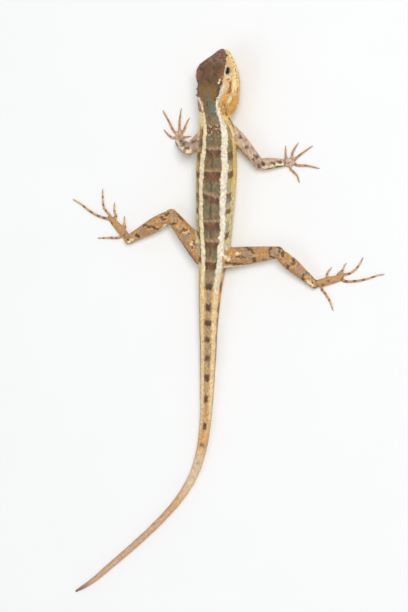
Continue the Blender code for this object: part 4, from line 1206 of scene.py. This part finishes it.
# Keratin scale: satin, a little worn in patches about half a millimetre wide, and rougher there
keratin, shader, tint, cloud = marked_finish(
    "keeled scale keratin", 0.5, 0.45, 2200.0, 3.0, 0.3, 0.00004
)
worn = add_node(
    keratin, "ShaderNodeMix", {"B": (1.0, 0.96, 0.88, 1.0)},
    {"A": tint.outputs["Color"], "Factor": cloud.outputs["Fac"]},
    data_type="RGBA", blend_type="MULTIPLY",
)
rough = add_node(
    keratin, "ShaderNodeMapRange", {"To Min": 0.38, "To Max": 0.62}, {"Value": cloud.outputs["Fac"]}
)
keratin.node_tree.links.new(worn.outputs[2], shader.inputs["Base Color"])
keratin.node_tree.links.new(rough.outputs["Result"], shader.inputs["Roughness"])


def skin_from_inside(start, way, reach):
    """Where a ray from a line of the body comes out through the skin, and the skin's slope."""
    hit, _, face, _ = skin_tree.ray_cast(Vector(start), Vector(way), reach)
    if hit is None:
        return None
    return np.array(hit), unit(skin_normals[faces[face]].sum(axis=0))


def spot_on(line, scale, at):
    """The point of a line at a place on it, counted by its keys or by its length."""
    return [np.interp(at, line[scale], line["points"][:, i]) for i in range(3)]


def ring_of_scales(middle, axes, radius, count, half_on, gap, outer=None):
    """The roots of the scales of one ring, or of its outer part where outer is given."""
    side, top, ahead = axes
    roots = []
    for j in range(count):
        turn = 2 * math.pi * (j + 0.5 * half_on) / count
        way = top * math.cos(turn) + side * math.sin(turn)
        if outer is not None and way @ outer < 0.2:
            continue
        found = skin_from_inside(middle, way, radius * 1.8 + 0.6)
        if found is None:
            continue
        spot, slope = found
        lie = unit(ahead - slope * (ahead @ slope))
        width = 2 * math.pi * (spot - middle) @ way / count
        width /= max(0.75, slope @ way)
        roots.append((spot, slope, lie, width, 2.0 * gap, turn))
    return roots


def picked(table, wanted):
    """The rows of a table of roots that are wanted."""
    return {key: value[wanted] for key, value in table.items()}


def table_of(roots, nodes):
    """The roots on the solids of those names, as arrays, each with its solid's number."""
    names = ("spot", "slope", "lie", "width", "length", "turn")
    table = {name: np.array([root[i] for root in roots]) for i, name in enumerate(names)}
    table["node"] = node_of(table["spot"])
    return picked(table, np.isin(table["node"], [FLESH.index(n) for n in nodes]))


def rings_of_scales(line, stretches, nodes):
    """The roots of scales in rings round a line, on the solids of those names.

    Each stretch is where it starts and ends on the line, how many scales go round and how
    far apart the rings are, in millimetres.
    """
    roots = []
    order = line["keys"].argsort()
    for start, end, count, gap in stretches:
        far = np.interp([start, end], line["keys"][order], line["length"][order])
        for row, at in enumerate(np.arange(min(far), max(far), gap)):
            middle = spot_on(line, "length", at)
            i = min(int(np.searchsorted(line["length"], at)), len(line["points"]) - 1)
            axes = line["side"][i], line["top"][i], line["ahead"][i]
            roots += ring_of_scales(middle, axes, line["radii"][i], count, row % 2, gap)
    return table_of(roots, nodes)


def fan_of_scales(before, after, count, gap=0.36):
    """The roots of scales in a fan over the outer side of the bend between two lengths of a leg."""
    joint = spot_on(lines[before], "keys", 1.0)
    start, end = lines[before]["ahead"][0], lines[after]["ahead"][0]
    pivot = unit(np.cross(start, end))
    bend = math.acos(float(np.clip(start @ end, -1, 1)))
    radius = lines[after]["radii"][3]
    roots = []
    for row, angle in enumerate(np.arange(0.0, bend + 0.4, gap / radius)):
        ahead = start * math.cos(angle) + np.cross(pivot, start) * math.sin(angle)
        outer = np.cross(ahead, pivot)
        roots += ring_of_scales(joint, (pivot, outer, ahead), radius, count, row % 2, gap, outer)
    return table_of(roots, (before, after))


def together(tables):
    """Several tables of roots as one."""
    return {key: np.concatenate([t[key] for t in tables]) for key in tables[0]}


def copies_on(roots, lie, shape, wide, long, tall):
    """The points of copies of a shape, one on each root and as large as told."""
    across = np.cross(lie, roots["slope"])
    points = (
        roots["spot"][:, None]
        + across[:, None] * shape[None, :, 0:1] * wide[:, None, None]
        + lie[:, None] * shape[None, :, 1:2] * long[:, None, None]
        + roots["slope"][:, None] * (shape[None, :, 2:3] * tall[:, None, None])
    )
    points[..., 2] = np.maximum(points[..., 2], SCALE_FLOOR)
    return points


def joined_piece(name, roots, points, triangles, colours, spread, sharp):
    """One piece of all the copies on roots, spread being a shape's own place on the unwrap."""
    copies, corners = points.shape[:2]
    triangles = (triangles[None] + corners * np.arange(copies)[:, None, None]).reshape(-1, 3)
    mesh = bpy.data.meshes.new(name)
    mesh.from_pydata(points.reshape(-1, 3), [], triangles)
    set_colours(mesh, colours.reshape(-1, 3))
    flat = unwrap(roots["spot"], roots["node"])[:, None] + spread[None] * 0.003
    set_unwrap(mesh, flat.reshape(-1, 2)[triangles.ravel()])
    return finish_piece(name, mesh, keratin, sharp)


def grow_scales(name, roots, kind, lift=1.0, swirl=0.0):
    """Joins a leaf on every root into one piece, in the colours of the markings."""
    shape, triangles = kind
    n, k = len(roots["spot"]), len(shape)
    wobble = np.radians(draw.normal(0, 3.0, n)) + swirl * np.sin(roots["turn"])
    across = np.cross(roots["lie"], roots["slope"])
    lie = roots["lie"] * np.cos(wobble)[:, None] + across * np.sin(wobble)[:, None]
    size = 1 + draw.normal(0, 0.04, n)
    tall = np.minimum(roots["width"], roots["length"]) * lift
    points = copies_on(roots, lie, shape, roots["width"] * size * 1.04, roots["length"] * size, tall)
    # A third of a scale's colour is one tone of its own, the rest the pattern that runs over it
    colours = 0.35 * markings(roots["spot"], roots["node"])[:, None]
    within = markings(points.reshape(-1, 3), np.repeat(roots["node"], k)).reshape(n, k, 3)
    colours = (colours + 0.65 * within) * (1 + draw.normal(0, 0.11, n))[:, None, None]
    # Each scale is painted darker at its root and lighter towards its point and along its ridge: painted
    # shade where it lies under the scale before it, and a painted highlight on the ridge
    share = (shape[:, 1] + LEAF_ROOT) / LEAF_LENGTH
    shade = 0.74 + 0.22 * share + 0.14 * (1 - np.abs(shape[:, 0]) * 2)
    colours = colours * shade[None, :, None]
    piece = joined_piece(name, roots, points, triangles, colours, shape[:, :2], 28.0)


def past_plates(points):
    """How far behind the last plates of the head points are, with an uneven edge."""
    return head_measure(points)[0] - 21.3 + 0.45 * mottle(points, 1.3, 19)


body = lines["body"]
trunk = rings_of_scales(body, [(31.5, -24.2, 44, 0.5)], ["head", "neck", "torso"])
trunk = picked(trunk, past_plates(trunk["spot"]) > -0.1)
front = trunk["spot"][:, 1] > 4.4
for name, part in (("scales_shoulders", front), ("scales_hips", ~front)):
    grow_scales(name, picked(trunk, part), BROAD_LEAF, swirl=0.25)
tail = rings_of_scales(
    body,
    [
        (-23.9, -31.0, 32, 0.5), (-31.0, -40.0, 28, 0.5), (-40.0, -50.0, 24, 0.52),
        (-50.0, -62.0, 20, 0.54), (-62.0, -76.0, 18, 0.56), (-76.0, -92.0, 15, 0.58),
        (-92.0, -112.0, 13, 0.58), (-112.0, -130.0, 11, 0.58), (-130.0, -139.0, 9, 0.5),
    ],
    BODY[2:],
)
grow_scales("scales_tail", tail, PLAIN_LEAF)

limb_roots = {"arms": [], "legs": [], "hands": [], "feet": []}
for leg in LEGS:
    upper, lower, foot = leg_names(leg)
    if leg.startswith("arm"):
        stretches = (-0.1, 1.0, 19, 0.38), (0.0, 1.05, 17, 0.36)
        limb, end = limb_roots["arms"], limb_roots["hands"]
    else:
        stretches = (-0.1, 1.0, 28, 0.4), (0.0, 1.05, 20, 0.38)
        limb, end = limb_roots["legs"], limb_roots["feet"]
    for name, stretch in zip((upper, lower), stretches):
        limb.append(rings_of_scales(lines[name], [stretch], [name]))
    limb += [fan_of_scales(upper, lower, 19), fan_of_scales(lower, foot, 16)]
    sole = rings_of_scales(lines[foot], [(-0.1, 1.1, 16, 0.3)], [foot])
    end.append(picked(sole, toe_of(foot, sole["spot"])[0] < 0))
    for i in range(5):
        toe = rings_of_scales(lines[f"{foot}_toe_{i}"], [(-0.1, 1.0, 8, 0.26)], [foot])
        end.append(picked(toe, toe_of(foot, toe["spot"])[0] == i))
grow_scales("scales_arms", together(limb_roots["arms"]), PLAIN_LEAF)
grow_scales("scales_legs", together(limb_roots["legs"]), PLAIN_LEAF)
grow_scales("scales_hands", together(limb_roots["hands"]), PLAIN_LEAF, lift=0.8)
grow_scales("scales_feet", together(limb_roots["feet"]), PLAIN_LEAF, lift=0.8)


# The plates of the head. Small smooth shields of keratin that lie edge to edge: the largest on
# the crown, a row of oblong ones along each lip and brow, and grains round the eyes and ears.
def snapped(points):
    """The nearest places on the skin, and its slope there."""
    places, slopes = [], []
    for point in points:
        spot, _, face, _ = skin_tree.find_nearest(Vector(point))
        places.append(spot)
        slopes.append(skin_normals[faces[face]].sum(axis=0))
    return np.array(places), unit(np.array(slopes))


def plate_size(points):
    """How far apart the plates stand on each part of the head, in millimetres."""
    back, out, high = head_measure(points)
    brow = profile(BROW_HEIGHT, back)
    size = np.full(len(points), 0.62)
    crown = high > brow - 0.3
    on_crown = np.interp(back, (0, 4, 7, 11, 15, 22), (0.7, 0.85, 1.0, 0.95, 0.72, 0.8))
    size = np.where(crown, on_crown, size)
    size = np.where(high < -3.2, 0.74, size)
    size = np.where((back > 18) & ~crown, 0.78, size)
    for way in (1.0, -1.0):
        side = np.column_stack([back, out * way, high])
        for middle, gaps, sizes in (
            (eye_opening, (1.6, 2.6, 3.4), (0.36, 0.46, 1.0)),
            (EAR_AT, (1.4, 2.2, 3.0), (0.4, 0.55, 1.0)),
            (NOSTRIL_AT, (0.5, 1.2), (0.4, 1.0)),
        ):
            gap = np.linalg.norm(side - middle, axis=1)
            size = np.minimum(size, np.interp(gap, gaps, sizes))
    return size


def opening_gap(points):
    """How far points are outside the nearest opening of an eye, ear or nostril, in millimetres."""
    back, out, high = head_measure(points)
    best = np.full(len(points), 9.0)
    for way in (1.0, -1.0):
        side = np.column_stack([back, out * way, high])
        across = side - EYE_AT
        ratio = np.hypot(across[:, 0] / LID_OPENING[0], across @ LID_RISE / LID_OPENING[1])
        gap = np.where(across @ LID_GAZE > 0, (ratio - 1) * LID_OPENING[1], 9.0)
        best = np.minimum(best, gap)
        past = side - EAR_AT
        long = past[:, 0] * math.cos(EAR_RISE) + past[:, 2] * math.sin(EAR_RISE)
        tall = past[:, 2] * math.cos(EAR_RISE) - past[:, 0] * math.sin(EAR_RISE)
        gap = (np.hypot(long / EAR_OVAL[0], tall / EAR_OVAL[1]) - 1) * EAR_OVAL[1]
        best = np.minimum(best, np.where(np.abs(past[:, 1]) < 2, gap, 9.0))
        best = np.minimum(best, np.linalg.norm(side - NOSTRIL_AT, axis=1) - NOSTRIL_RADIUS - 0.25)
    return best


def eye_axes(way):
    """The middle of the eye on the right (1) or left (-1), its gaze and the way up across it."""
    out = head_side * way
    gaze = out * math.cos(LID_TILT) + head_top * math.sin(LID_TILT)
    over = head_top * math.cos(LID_TILT) - out * math.sin(LID_TILT)
    return in_head(*EYE_AT, way), gaze, over


def in_ear(x, y, margin):
    """The place behind the snout and up in the head of a point of the ear's oval.

    The oval's edge is at 1, and it lies outside the ear's own by the margin.
    """
    long, tall = (EAR_OVAL[0] + margin) * x, (EAR_OVAL[1] + margin) * y
    back = EAR_AT[0] + long * math.cos(EAR_RISE) - tall * math.sin(EAR_RISE)
    return back, EAR_AT[2] + tall * math.cos(EAR_RISE) + long * math.sin(EAR_RISE)


def round_angles(count):
    """So many angles evenly round a circle."""
    return np.arange(count) * 2 * math.pi / count


# The first two places are the nostrils, which no plate covers. SEAM is half the width of the
# seam between two plates, PLATE_ROOT how deep a plate is sunk and PLATE_RISE how far it rises
NOSTRILS, SEAM, PLATE_ROOT, PLATE_RISE = 2, 0.028, 0.07, 0.11
places = [in_head(*NOSTRIL_AT, way) for way in (1.0, -1.0)]
places += [in_head(-0.1, 0.0, -1.2), in_head(0.0, 0.0, -2.35)]
for way in (1.0, -1.0):
    for angle in round_angles(7):
        back, high = NOSTRIL_AT[0] + 0.6 * math.cos(angle), NOSTRIL_AT[2] + 0.6 * math.sin(angle)
        places.append(in_head(back, NOSTRIL_AT[1] + 0.3, high, way))
    for back in np.arange(1.0, 15.6, 1.25):
        lip, shut = profile(LIP, back), profile(MOUTH_HEIGHT, back)
        places.append(in_head(back, lip * 0.99, shut + 0.45, way))
        places.append(in_head(back + 0.4, lip * 0.97, shut - 0.5, way))
    for back in np.arange(3.0, 11.0, 0.8):
        brow = profile(BROW_WIDTH, back), profile(BROW_HEIGHT, back)
        places.append(in_head(back, *brow, way))
    middle, gaze, over = eye_axes(way)
    for ring, count in ((0.24, 18), (0.6, 20)):
        for angle in round_angles(count):
            x, y = (LID_OPENING[0] + ring) * math.cos(angle), (LID_OPENING[1] + ring) * math.sin(angle)
            places.append(middle + gaze * 2.1 - head_ahead * x + over * y)
    for angle in round_angles(16):
        back, high = in_ear(math.cos(angle), math.sin(angle), 0.3)
        places.append(in_head(back, EAR_AT[1], high, way))
fixed, _ = snapped(places)

corners = verts[faces]
areas = 0.5 * np.linalg.norm(
    np.cross(corners[:, 1] - corners[:, 0], corners[:, 2] - corners[:, 0]), axis=1
)
head_number = FLESH.index("head")
on_head = np.isin(middle_nodes, [head_number, FLESH.index("neck")]) & (past_plates(middles) < 0)
chosen = np.flatnonzero(on_head)
# The plates share out a dust of points on the skin, each point going to the nearest seed of a
# plate. Seeds are picked from the dust well apart, with a grid to find those near a point
DUST = 36000
picks = draw.choice(chosen, DUST, p=areas[chosen] / areas[chosen].sum())
mix = draw.dirichlet((1, 1, 1), len(picks))
dust = (corners[picks] * mix[:, :, None]).sum(axis=1)
dust = dust[opening_gap(dust) > 0.12]
dust_size = plate_size(dust)
seeds = [tuple(point) for point in fixed]
fixed_size = plate_size(fixed)
grid = {}


def cell_of(point):
    """The millimetre cube of the head that a point is in."""
    return tuple(math.floor(c) for c in point)


def tree_of(points):
    """A search tree of points, which finds the nearest of them."""
    tree = KDTree(len(points))
    for i, point in enumerate(points):
        tree.insert(point, i)
    tree.balance()
    return tree


for i, point in enumerate(fixed):
    grid.setdefault(cell_of(point), []).append((point, fixed_size[i]))
for point, size in zip(dust, dust_size):
    at = cell_of(point)
    near = [
        other
        for i in (-1, 0, 1)
        for j in (-1, 0, 1)
        for k in (-1, 0, 1)
        for other in grid.get((at[0] + i, at[1] + j, at[2] + k), ())
    ]
    if all(((point - other) ** 2).sum() > (0.8 * min(size, span)) ** 2 for other, span in near):
        seeds.append(tuple(point))
        grid.setdefault(at, []).append((point, size))
seeds = np.array(seeds)
# Each seed moves to the middle of its own dust four times, which evens the plates out
for _ in range(4):
    tree = tree_of(seeds)
    owner = np.array([tree.find(point)[1] for point in dust])
    weight = dust_size**-4
    total = np.bincount(owner, weight, len(seeds))
    moved = [np.bincount(owner, weight * dust[:, i], len(seeds)) for i in range(3)]
    moved = np.column_stack(moved) / np.maximum(total, 1e-9)[:, None]
    free = (total > 0) & (np.arange(len(seeds)) >= len(fixed))
    seeds[free] = snapped(moved[free])[0]
seeds, slopes = snapped(seeds)
seed_sizes = plate_size(seeds)


def outline_of(i, tree):
    """The edge of a plate: what is nearer to its seed than to any other, less a seam."""
    seed, slope, reach = seeds[i], slopes[i], seed_sizes[i]
    u = unit(np.cross(slope, head_ahead + 0.01 * head_side))
    v = np.cross(slope, u)
    outline = [(math.cos(a) * reach * 0.72, math.sin(a) * reach * 0.72) for a in round_angles(9)]
    for _, j, far in tree.find_range(seed, reach * 2.4):
        if j == i or slopes[j] @ slope < 0.1:
            continue
        step_to = seeds[j] - seed
        x, y = step_to @ u, step_to @ v
        length = math.hypot(x, y)
        if length < 0.05:
            continue
        x, y, limit = x / length, y / length, far * 0.5 - SEAM
        kept = []
        for k, point in enumerate(outline):
            after = outline[(k + 1) % len(outline)]
            a, b = point[0] * x + point[1] * y - limit, after[0] * x + after[1] * y - limit
            if a <= 0:
                kept.append(point)
            if a * b < 0:
                share = a / (a - b)
                kept.append(tuple(p + (q - p) * share for p, q in zip(point, after)))
        outline = kept
        if len(outline) < 3:
            return None
    tidy = []
    for point in outline:
        if not tidy or math.dist(point, tidy[-1]) > reach * 0.12:
            tidy.append(point)
    if len(tidy) > 3 and math.dist(tidy[0], tidy[-1]) < reach * 0.12:
        tidy.pop()
    if len(tidy) < 4:
        return None
    return [seed + u * x + v * y for x, y in tidy]


tree = tree_of(seeds)
bm = bmesh.new()
tag = bm.verts.layers.float.new("plate")
rise_tag = bm.verts.layers.float.new("rise")
floors = []
for i in range(NOSTRILS, len(seeds)):
    outline = outline_of(i, tree)
    if outline is None:
        continue
    ring = []
    for point in outline:
        vert = bm.verts.new(point - slopes[i] * PLATE_ROOT)
        vert[tag] = i
        ring.append(vert)
    floor = bm.faces.new(ring)
    floor.normal_update()
    if floor.normal @ Vector(slopes[i]) < 0:
        floor.normal_flip()
    floors.append(floor)
raised = bmesh.ops.extrude_face_region(bm, geom=floors, use_keep_orig=True)["geom"]
tops = [item for item in raised if isinstance(item, bmesh.types.BMFace)]
for vert in {vert for face in tops for vert in face.verts}:
    i = round(vert[tag])
    rear = float((np.array(vert.co) - seeds[i]) @ -head_ahead) / seed_sizes[i]
    vert.co += Vector(slopes[i]) * (PLATE_RISE + 0.05 * rear) * min(1.0, seed_sizes[i] / 0.5)
    vert[rise_tag] = 0.55
for face in floors:
    face.normal_flip()
bmesh.ops.inset_individual(bm, faces=tops, thickness=0.15, depth=0.0, use_relative_offset=True)
for face in tops:
    i = round(face.verts[0][tag])
    for vert in face.verts:
        vert.co += Vector(slopes[i]) * 0.035 * min(1.0, seed_sizes[i] / 0.5)
        vert[rise_tag] = 0.9
middles_of_tops = bmesh.ops.poke(bm, faces=tops)["verts"]
for vert in middles_of_tops:
    i = round(vert[tag])
    vert.co += Vector(slopes[i]) * 0.02
    vert[rise_tag] = 1.0
bmesh.ops.triangulate(bm, faces=bm.faces)
plate = np.array([round(vert[tag]) for vert in bm.verts])
rise = np.array([vert[rise_tag] for vert in bm.verts])
mesh = mesh_of(bm, "plates_head")
places = np.array([vert.co for vert in mesh.vertices])
colours = markings(seeds, np.full(len(seeds), head_number))
colours *= (1 + draw.normal(0, 0.07, len(seeds)))[:, None]
# Each plate is painted darker down its sides and at its sunken foot, and lighter on its top: painted
# shade in the seams between plates
set_colours(mesh, colours[plate] * (0.62 + 0.4 * rise)[:, None])
flat = unwrap(seeds, np.full(len(seeds), head_number))[plate]
apart = places - seeds[plate]
flat[:, 0] += np.clip(apart @ -head_ahead, -0.5, 0.5) * 0.003
flat[:, 1] += np.clip(apart @ head_side, -0.5, 0.5) * 0.003
set_unwrap(mesh, flat[read_out(mesh.loops, "vertex_index", int, 1).ravel()])
plates = finish_piece("plates_head", mesh, keratin, 35.0)


# The eyes. Each is a wet ball under a clear cornea: a round black pupil in a narrow dark
# bronze iris, set deep behind the lids and looking out and a little up.
eye_finish, shader = new_material(
    "wet cornea over iris", 0.04, Coat_Weight=0.4, Coat_Roughness=0.02, IOR=1.33
)
ring = add_node(eye_finish, "ShaderNodeAttribute", attribute_name="from_gaze")
colour = add_node(
    eye_finish, "ShaderNodeMapRange", {"From Min": 0.42, "From Max": 0.5}, {"Value": ring.outputs["Fac"]}
)
iris = add_node(
    eye_finish, "ShaderNodeMix",
    {"A": (*linear("#060608"), 1), "B": (*linear("#2e2216"), 1)},
    {"Factor": colour.outputs["Result"]}, data_type="RGBA",
)
rim = add_node(
    eye_finish, "ShaderNodeMapRange", {"From Min": 0.7, "From Max": 0.8}, {"Value": ring.outputs["Fac"]}
)
outer = add_node(
    eye_finish, "ShaderNodeMix", {"B": (*linear("#191412"), 1)},
    {"Factor": rim.outputs["Result"], "A": iris.outputs[2]}, data_type="RGBA",
)
eye_finish.node_tree.links.new(outer.outputs[2], shader.inputs["Base Color"])
SIDES = (("right", 1.0), ("left", -1.0))
for hand, way in SIDES:
    middle, gaze, _ = eye_axes(way)
    bm = bmesh.new()
    bmesh.ops.create_uvsphere(bm, u_segments=40, v_segments=28, radius=EYE_RADIUS)
    angles = []
    for vert in bm.verts:
        angle = math.atan2(math.hypot(vert.co.x, vert.co.y), vert.co.z)
        vert.co *= 1 + 0.09 * max(0.0, math.cos(angle * 1.8)) ** 2 * (angle < 0.87)
        angles.append(angle)
    look = Vector(gaze).to_track_quat("Z", "Y").to_matrix().to_4x4()
    bmesh.ops.transform(bm, matrix=Matrix.Translation(Vector(middle)) @ look, verts=bm.verts)
    mesh = mesh_of(bm, f"eyeball_{hand}")
    layer = mesh.attributes.new("from_gaze", "FLOAT", "POINT")
    layer.data.foreach_set("value", angles)
    eyeball = finish_piece(f"eyeball_{hand}", mesh, eye_finish)
    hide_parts(f"eye_{hand}")


# The lids. A thick scaly fold of skin hugs each eye, paler than the face, with a smooth rim
# that lies on the ball all round the opening.
# The middle of the rim runs on a ball a little larger than the eye
RIM_REACH = 1.82
lid_skin = drifting_finish("smooth lid skin", 0.42, 2600.0, 2.0, "#8d7352", "#b59c70")
for hand, way in SIDES:
    middle, gaze, over = eye_axes(way)
    bm = bmesh.new()
    bmesh.ops.create_circle(bm, segments=10, radius=0.2)
    bmesh.ops.translate(bm, verts=bm.verts, vec=(1.0, 0.0, 0.0))
    bmesh.ops.rotate(bm, verts=bm.verts, matrix=Matrix.Rotation(math.pi / 2, 3, "X"))
    bmesh.ops.spin(
        bm, geom=bm.verts[:] + bm.edges[:], axis=(0, 0, 1), cent=(0, 0, 0),
        angle=2 * math.pi, steps=40, use_merge=True,
    )
    for vert in bm.verts:
        angle = math.atan2(vert.co.y, vert.co.x)
        inward, height = math.hypot(vert.co.x, vert.co.y) - 1.0, vert.co.z
        wide = LID_OPENING[0] - 0.02 + inward
        tall = LID_OPENING[1] - 0.04 + inward
        x, y = wide * math.cos(angle), tall * math.sin(angle)
        far = math.sqrt(max(0.1, RIM_REACH**2 - x * x - y * y)) + height * 0.8 + inward * 0.4
        vert.co = middle + gaze * far - head_ahead * x + over * y
    bmesh.ops.recalc_face_normals(bm, faces=bm.faces)
    rim = finish_piece(f"lid_rim_{hand}", mesh_of(bm, f"lid_rim_{hand}"), lid_skin)


# The eardrums. Each is a thin smooth oval of bare skin, pale and a little sunken, with no
# scales on it.
drum_skin = drifting_finish("taut eardrum membrane", 0.35, 1500.0, 2.0, "#cdbd86", "#e9dcae")
for hand, way in SIDES:
    # The plane of the membrane is the one that fits the skin over the whole oval best
    rows, widths = [], []
    for x, y in [(r * math.cos(a), r * math.sin(a)) for r in (0.4, 0.7, 1.0) for a in range(6)]:
        back, high = in_ear(x, y, 0.15)
        hit = skin_tree.ray_cast(Vector(in_head(back, 9.0, high, way)), Vector(head_side * -way))[0]
        rows.append((1.0, back, high))
        widths.append(head_measure(np.array(hit))[1] * way)
    rows, widths = np.array(rows), np.array(widths)
    plane = np.linalg.lstsq(rows, widths, rcond=None)[0]
    plane[0] += (widths - rows @ plane).max()
    bm = bmesh.new()
    bmesh.ops.create_uvsphere(bm, u_segments=28, v_segments=14, radius=1.0)
    for vert in bm.verts:
        x, y, z = vert.co
        back, high = in_ear(x, y, 0.15)
        width = plane @ (1.0, back, high) + 0.1 * z + 0.04 - 0.08 * (1 - min(1.0, x * x + y * y))
        vert.co = in_head(back, width, high, way)
    bmesh.ops.recalc_face_normals(bm, faces=bm.faces)
    membrane = finish_piece(f"membrane_{hand}", mesh_of(bm, f"membrane_{hand}"), drum_skin)
    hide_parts(f"eardrum_{hand}")


# The crest. A single row of flat horny spines along the middle of the nape and back, leaning
# to the rear and lower towards the hips, with small groups of spines over each ear.
def horn(lean):
    """A closed spine one unit high, flat from side to side, leaning to the rear by lean."""
    bm = bmesh.new()
    bmesh.ops.create_cone(bm, cap_ends=True, segments=6, radius1=0.42, radius2=0.04, depth=1.0)
    geometry = bm.verts[:] + bm.edges[:] + bm.faces[:]
    bmesh.ops.bisect_plane(bm, geom=geometry, plane_co=(0, 0, 0), plane_no=(0, 0, 1))
    for vert in bm.verts:
        high = vert.co.z + 0.5
        vert.co = (vert.co.x * 0.42, vert.co.y + lean * high * high, high - 0.15)
    return shape_in(bm)


# Where the middle of the back is: place along the spine and turn from the top in degrees
MIDLINE = [
    (29.0, 8.0), (26.9, 9.0), (22.0, 2.0), (13.0, -4.0), (2.7, -2.0), (-4.0, 1.0), (-6.0, 2.0),
    (-11.8, 5.0), (-16.0, 8.0), (-22.0, 12.0), (-60.0, 12.0),
]
# The spines over each ear: place behind the snout, out and up, and height
TEMPLE_SPINES = [
    (14.0, 5.6, 3.1, 0.75), (14.6, 5.4, 3.35, 0.95), (15.1, 5.6, 2.95, 0.7),
    (16.2, 5.5, 3.1, 0.8), (16.7, 5.3, 3.3, 0.95), (17.2, 5.5, 2.85, 0.7),
]
crest = {key: [] for key in ("spot", "slope", "lie", "high")}
keys, turns = np.array(MIDLINE[::-1]).T
for at in np.arange(28.9, -12.0, -0.8):
    i = int(np.abs(body["keys"] - at).argmin())
    bent = math.radians(np.interp(at, keys, turns))
    way = body["top"][i] * math.cos(bent) + body["side"][i] * math.sin(bent)
    found = skin_from_inside(body["points"][i], way, 12.0)
    crest["spot"].append(found[0])
    crest["slope"].append(found[1])
    crest["lie"].append(unit(body["ahead"][i] - found[1] * (body["ahead"][i] @ found[1])))
    crest["high"].append(np.interp(at, (-12, -5, 10, 22, 28), (0.3, 0.42, 0.6, 0.95, 1.05)))
for way in (1.0, -1.0):
    for back, width, high, size in TEMPLE_SPINES:
        (spot,), (slope,) = snapped([in_head(back, width, high, way)])
        crest["spot"].append(spot)
        crest["slope"].append(slope)
        crest["lie"].append(unit(-head_ahead + slope * (head_ahead @ slope)))
        crest["high"].append(size)
crest = {key: np.array(value) for key, value in crest.items()}
crest["node"] = node_of(crest["spot"])
horn_verts, horn_faces = horn(0.55)
high = crest["high"]
points = copies_on(crest, crest["lie"], horn_verts, 0.35 + 0.5 * high, 0.35 + 0.65 * high, high)
# The temples' spines come last, the left side's after the right side's
colours = markings(crest["spot"], crest["node"])
pale = (draw.random(len(high)) < 0.35) & (crest["spot"][:, 1] > 20)
pale[-2 * len(TEMPLE_SPINES) :] = False
colours[pale] = PAINT["cream"]
colours[-len(TEMPLE_SPINES) :] = PAINT["temple"]
# Each spine is painted darker towards its root: painted shade where it rises from the skin
tips = 0.75 + 0.25 * horn_verts[:, 2]
colours = colours[:, None] * tips[None, :, None]
spines = joined_piece("crest", crest, points, horn_faces, colours, horn_verts[:, 1:3], 40.0)


# The claws. Each toe ends in a curved horn sheath, dark brown and glossy, paler at its root,
# whose point touches the floor.
horn_finish, shader = new_material("claw horn", 0.28, Specular_IOR_Level=0.55)
tint = add_node(horn_finish, "ShaderNodeAttribute", attribute_name="along_claw")
ends = add_node(
    horn_finish, "ShaderNodeMix",
    {"A": (*linear("#c9a479"), 1), "B": (*linear("#70543c"), 1)},
    {"Factor": tint.outputs["Fac"]}, data_type="RGBA",
)
where = add_node(horn_finish, "ShaderNodeTexCoord")
streak = add_node(
    horn_finish, "ShaderNodeTexNoise", {"Scale": 4000.0}, {"Vector": where.outputs["Object"]}
)
worn = add_node(
    horn_finish, "ShaderNodeMix", {"B": (1.0, 0.9, 0.8, 1.0)},
    {"A": ends.outputs[2], "Factor": streak.outputs["Fac"]}, data_type="RGBA", blend_type="MULTIPLY",
)
horn_finish.node_tree.links.new(worn.outputs[2], shader.inputs["Base Color"])
for foot in TOES:
    bm = bmesh.new()
    share_tag = bm.verts.layers.float.new("along_claw")
    for i in range(5):
        line = lines[f"{foot}_toe_{i}"]
        end = line["points"][-1]
        ahead = Vector(unit(line["ahead"][-1] * (1, 1, 0)))
        start = set(bm.verts)
        rim = bmesh.ops.create_circle(bm, segments=8, radius=0.3, cap_ends=True)["verts"]
        cap = rim[0].link_faces[0]
        for vert in rim:
            vert[share_tag] = 0.0
        for number in range(5):
            raised = bmesh.ops.extrude_face_region(bm, geom=[cap], use_keep_orig=number == 0)["geom"]
            top = [item for item in raised if isinstance(item, bmesh.types.BMFace)][0]
            share = (number + 1) / 5
            for vert in top.verts:
                vert.co.z = share * CLAW_LENGTH * 1.15
                narrow = math.sqrt(1 - share * 0.97) / math.sqrt(1 - (number / 5) * 0.97)
                vert.co.x *= narrow
                vert.co.y *= narrow
                vert[share_tag] = share
            cap = top
        made = [vert for vert in bm.verts if vert not in start]
        root = Vector(end) - ahead * 0.35
        root.z = max(0.42, end[2] + 0.05)
        level = ahead.cross(Vector((0, 0, 1)))
        for vert in made:
            far, x, y = vert.co.z, vert.co.x * 0.75, vert.co.y
            droop = 0.5 * (far / CLAW_LENGTH) ** 2 - 0.22 * math.sin(math.pi * far / CLAW_LENGTH)
            vert.co = root + ahead * far + level * x + Vector((0, 0, y - droop * (root.z / 0.5)))
            vert.co.z = max(vert.co.z, 0.03)
    bmesh.ops.recalc_face_normals(bm, faces=bm.faces)
    claws = finish_piece(f"claws_{foot}", mesh_of(bm, f"claws_{foot}"), horn_finish)
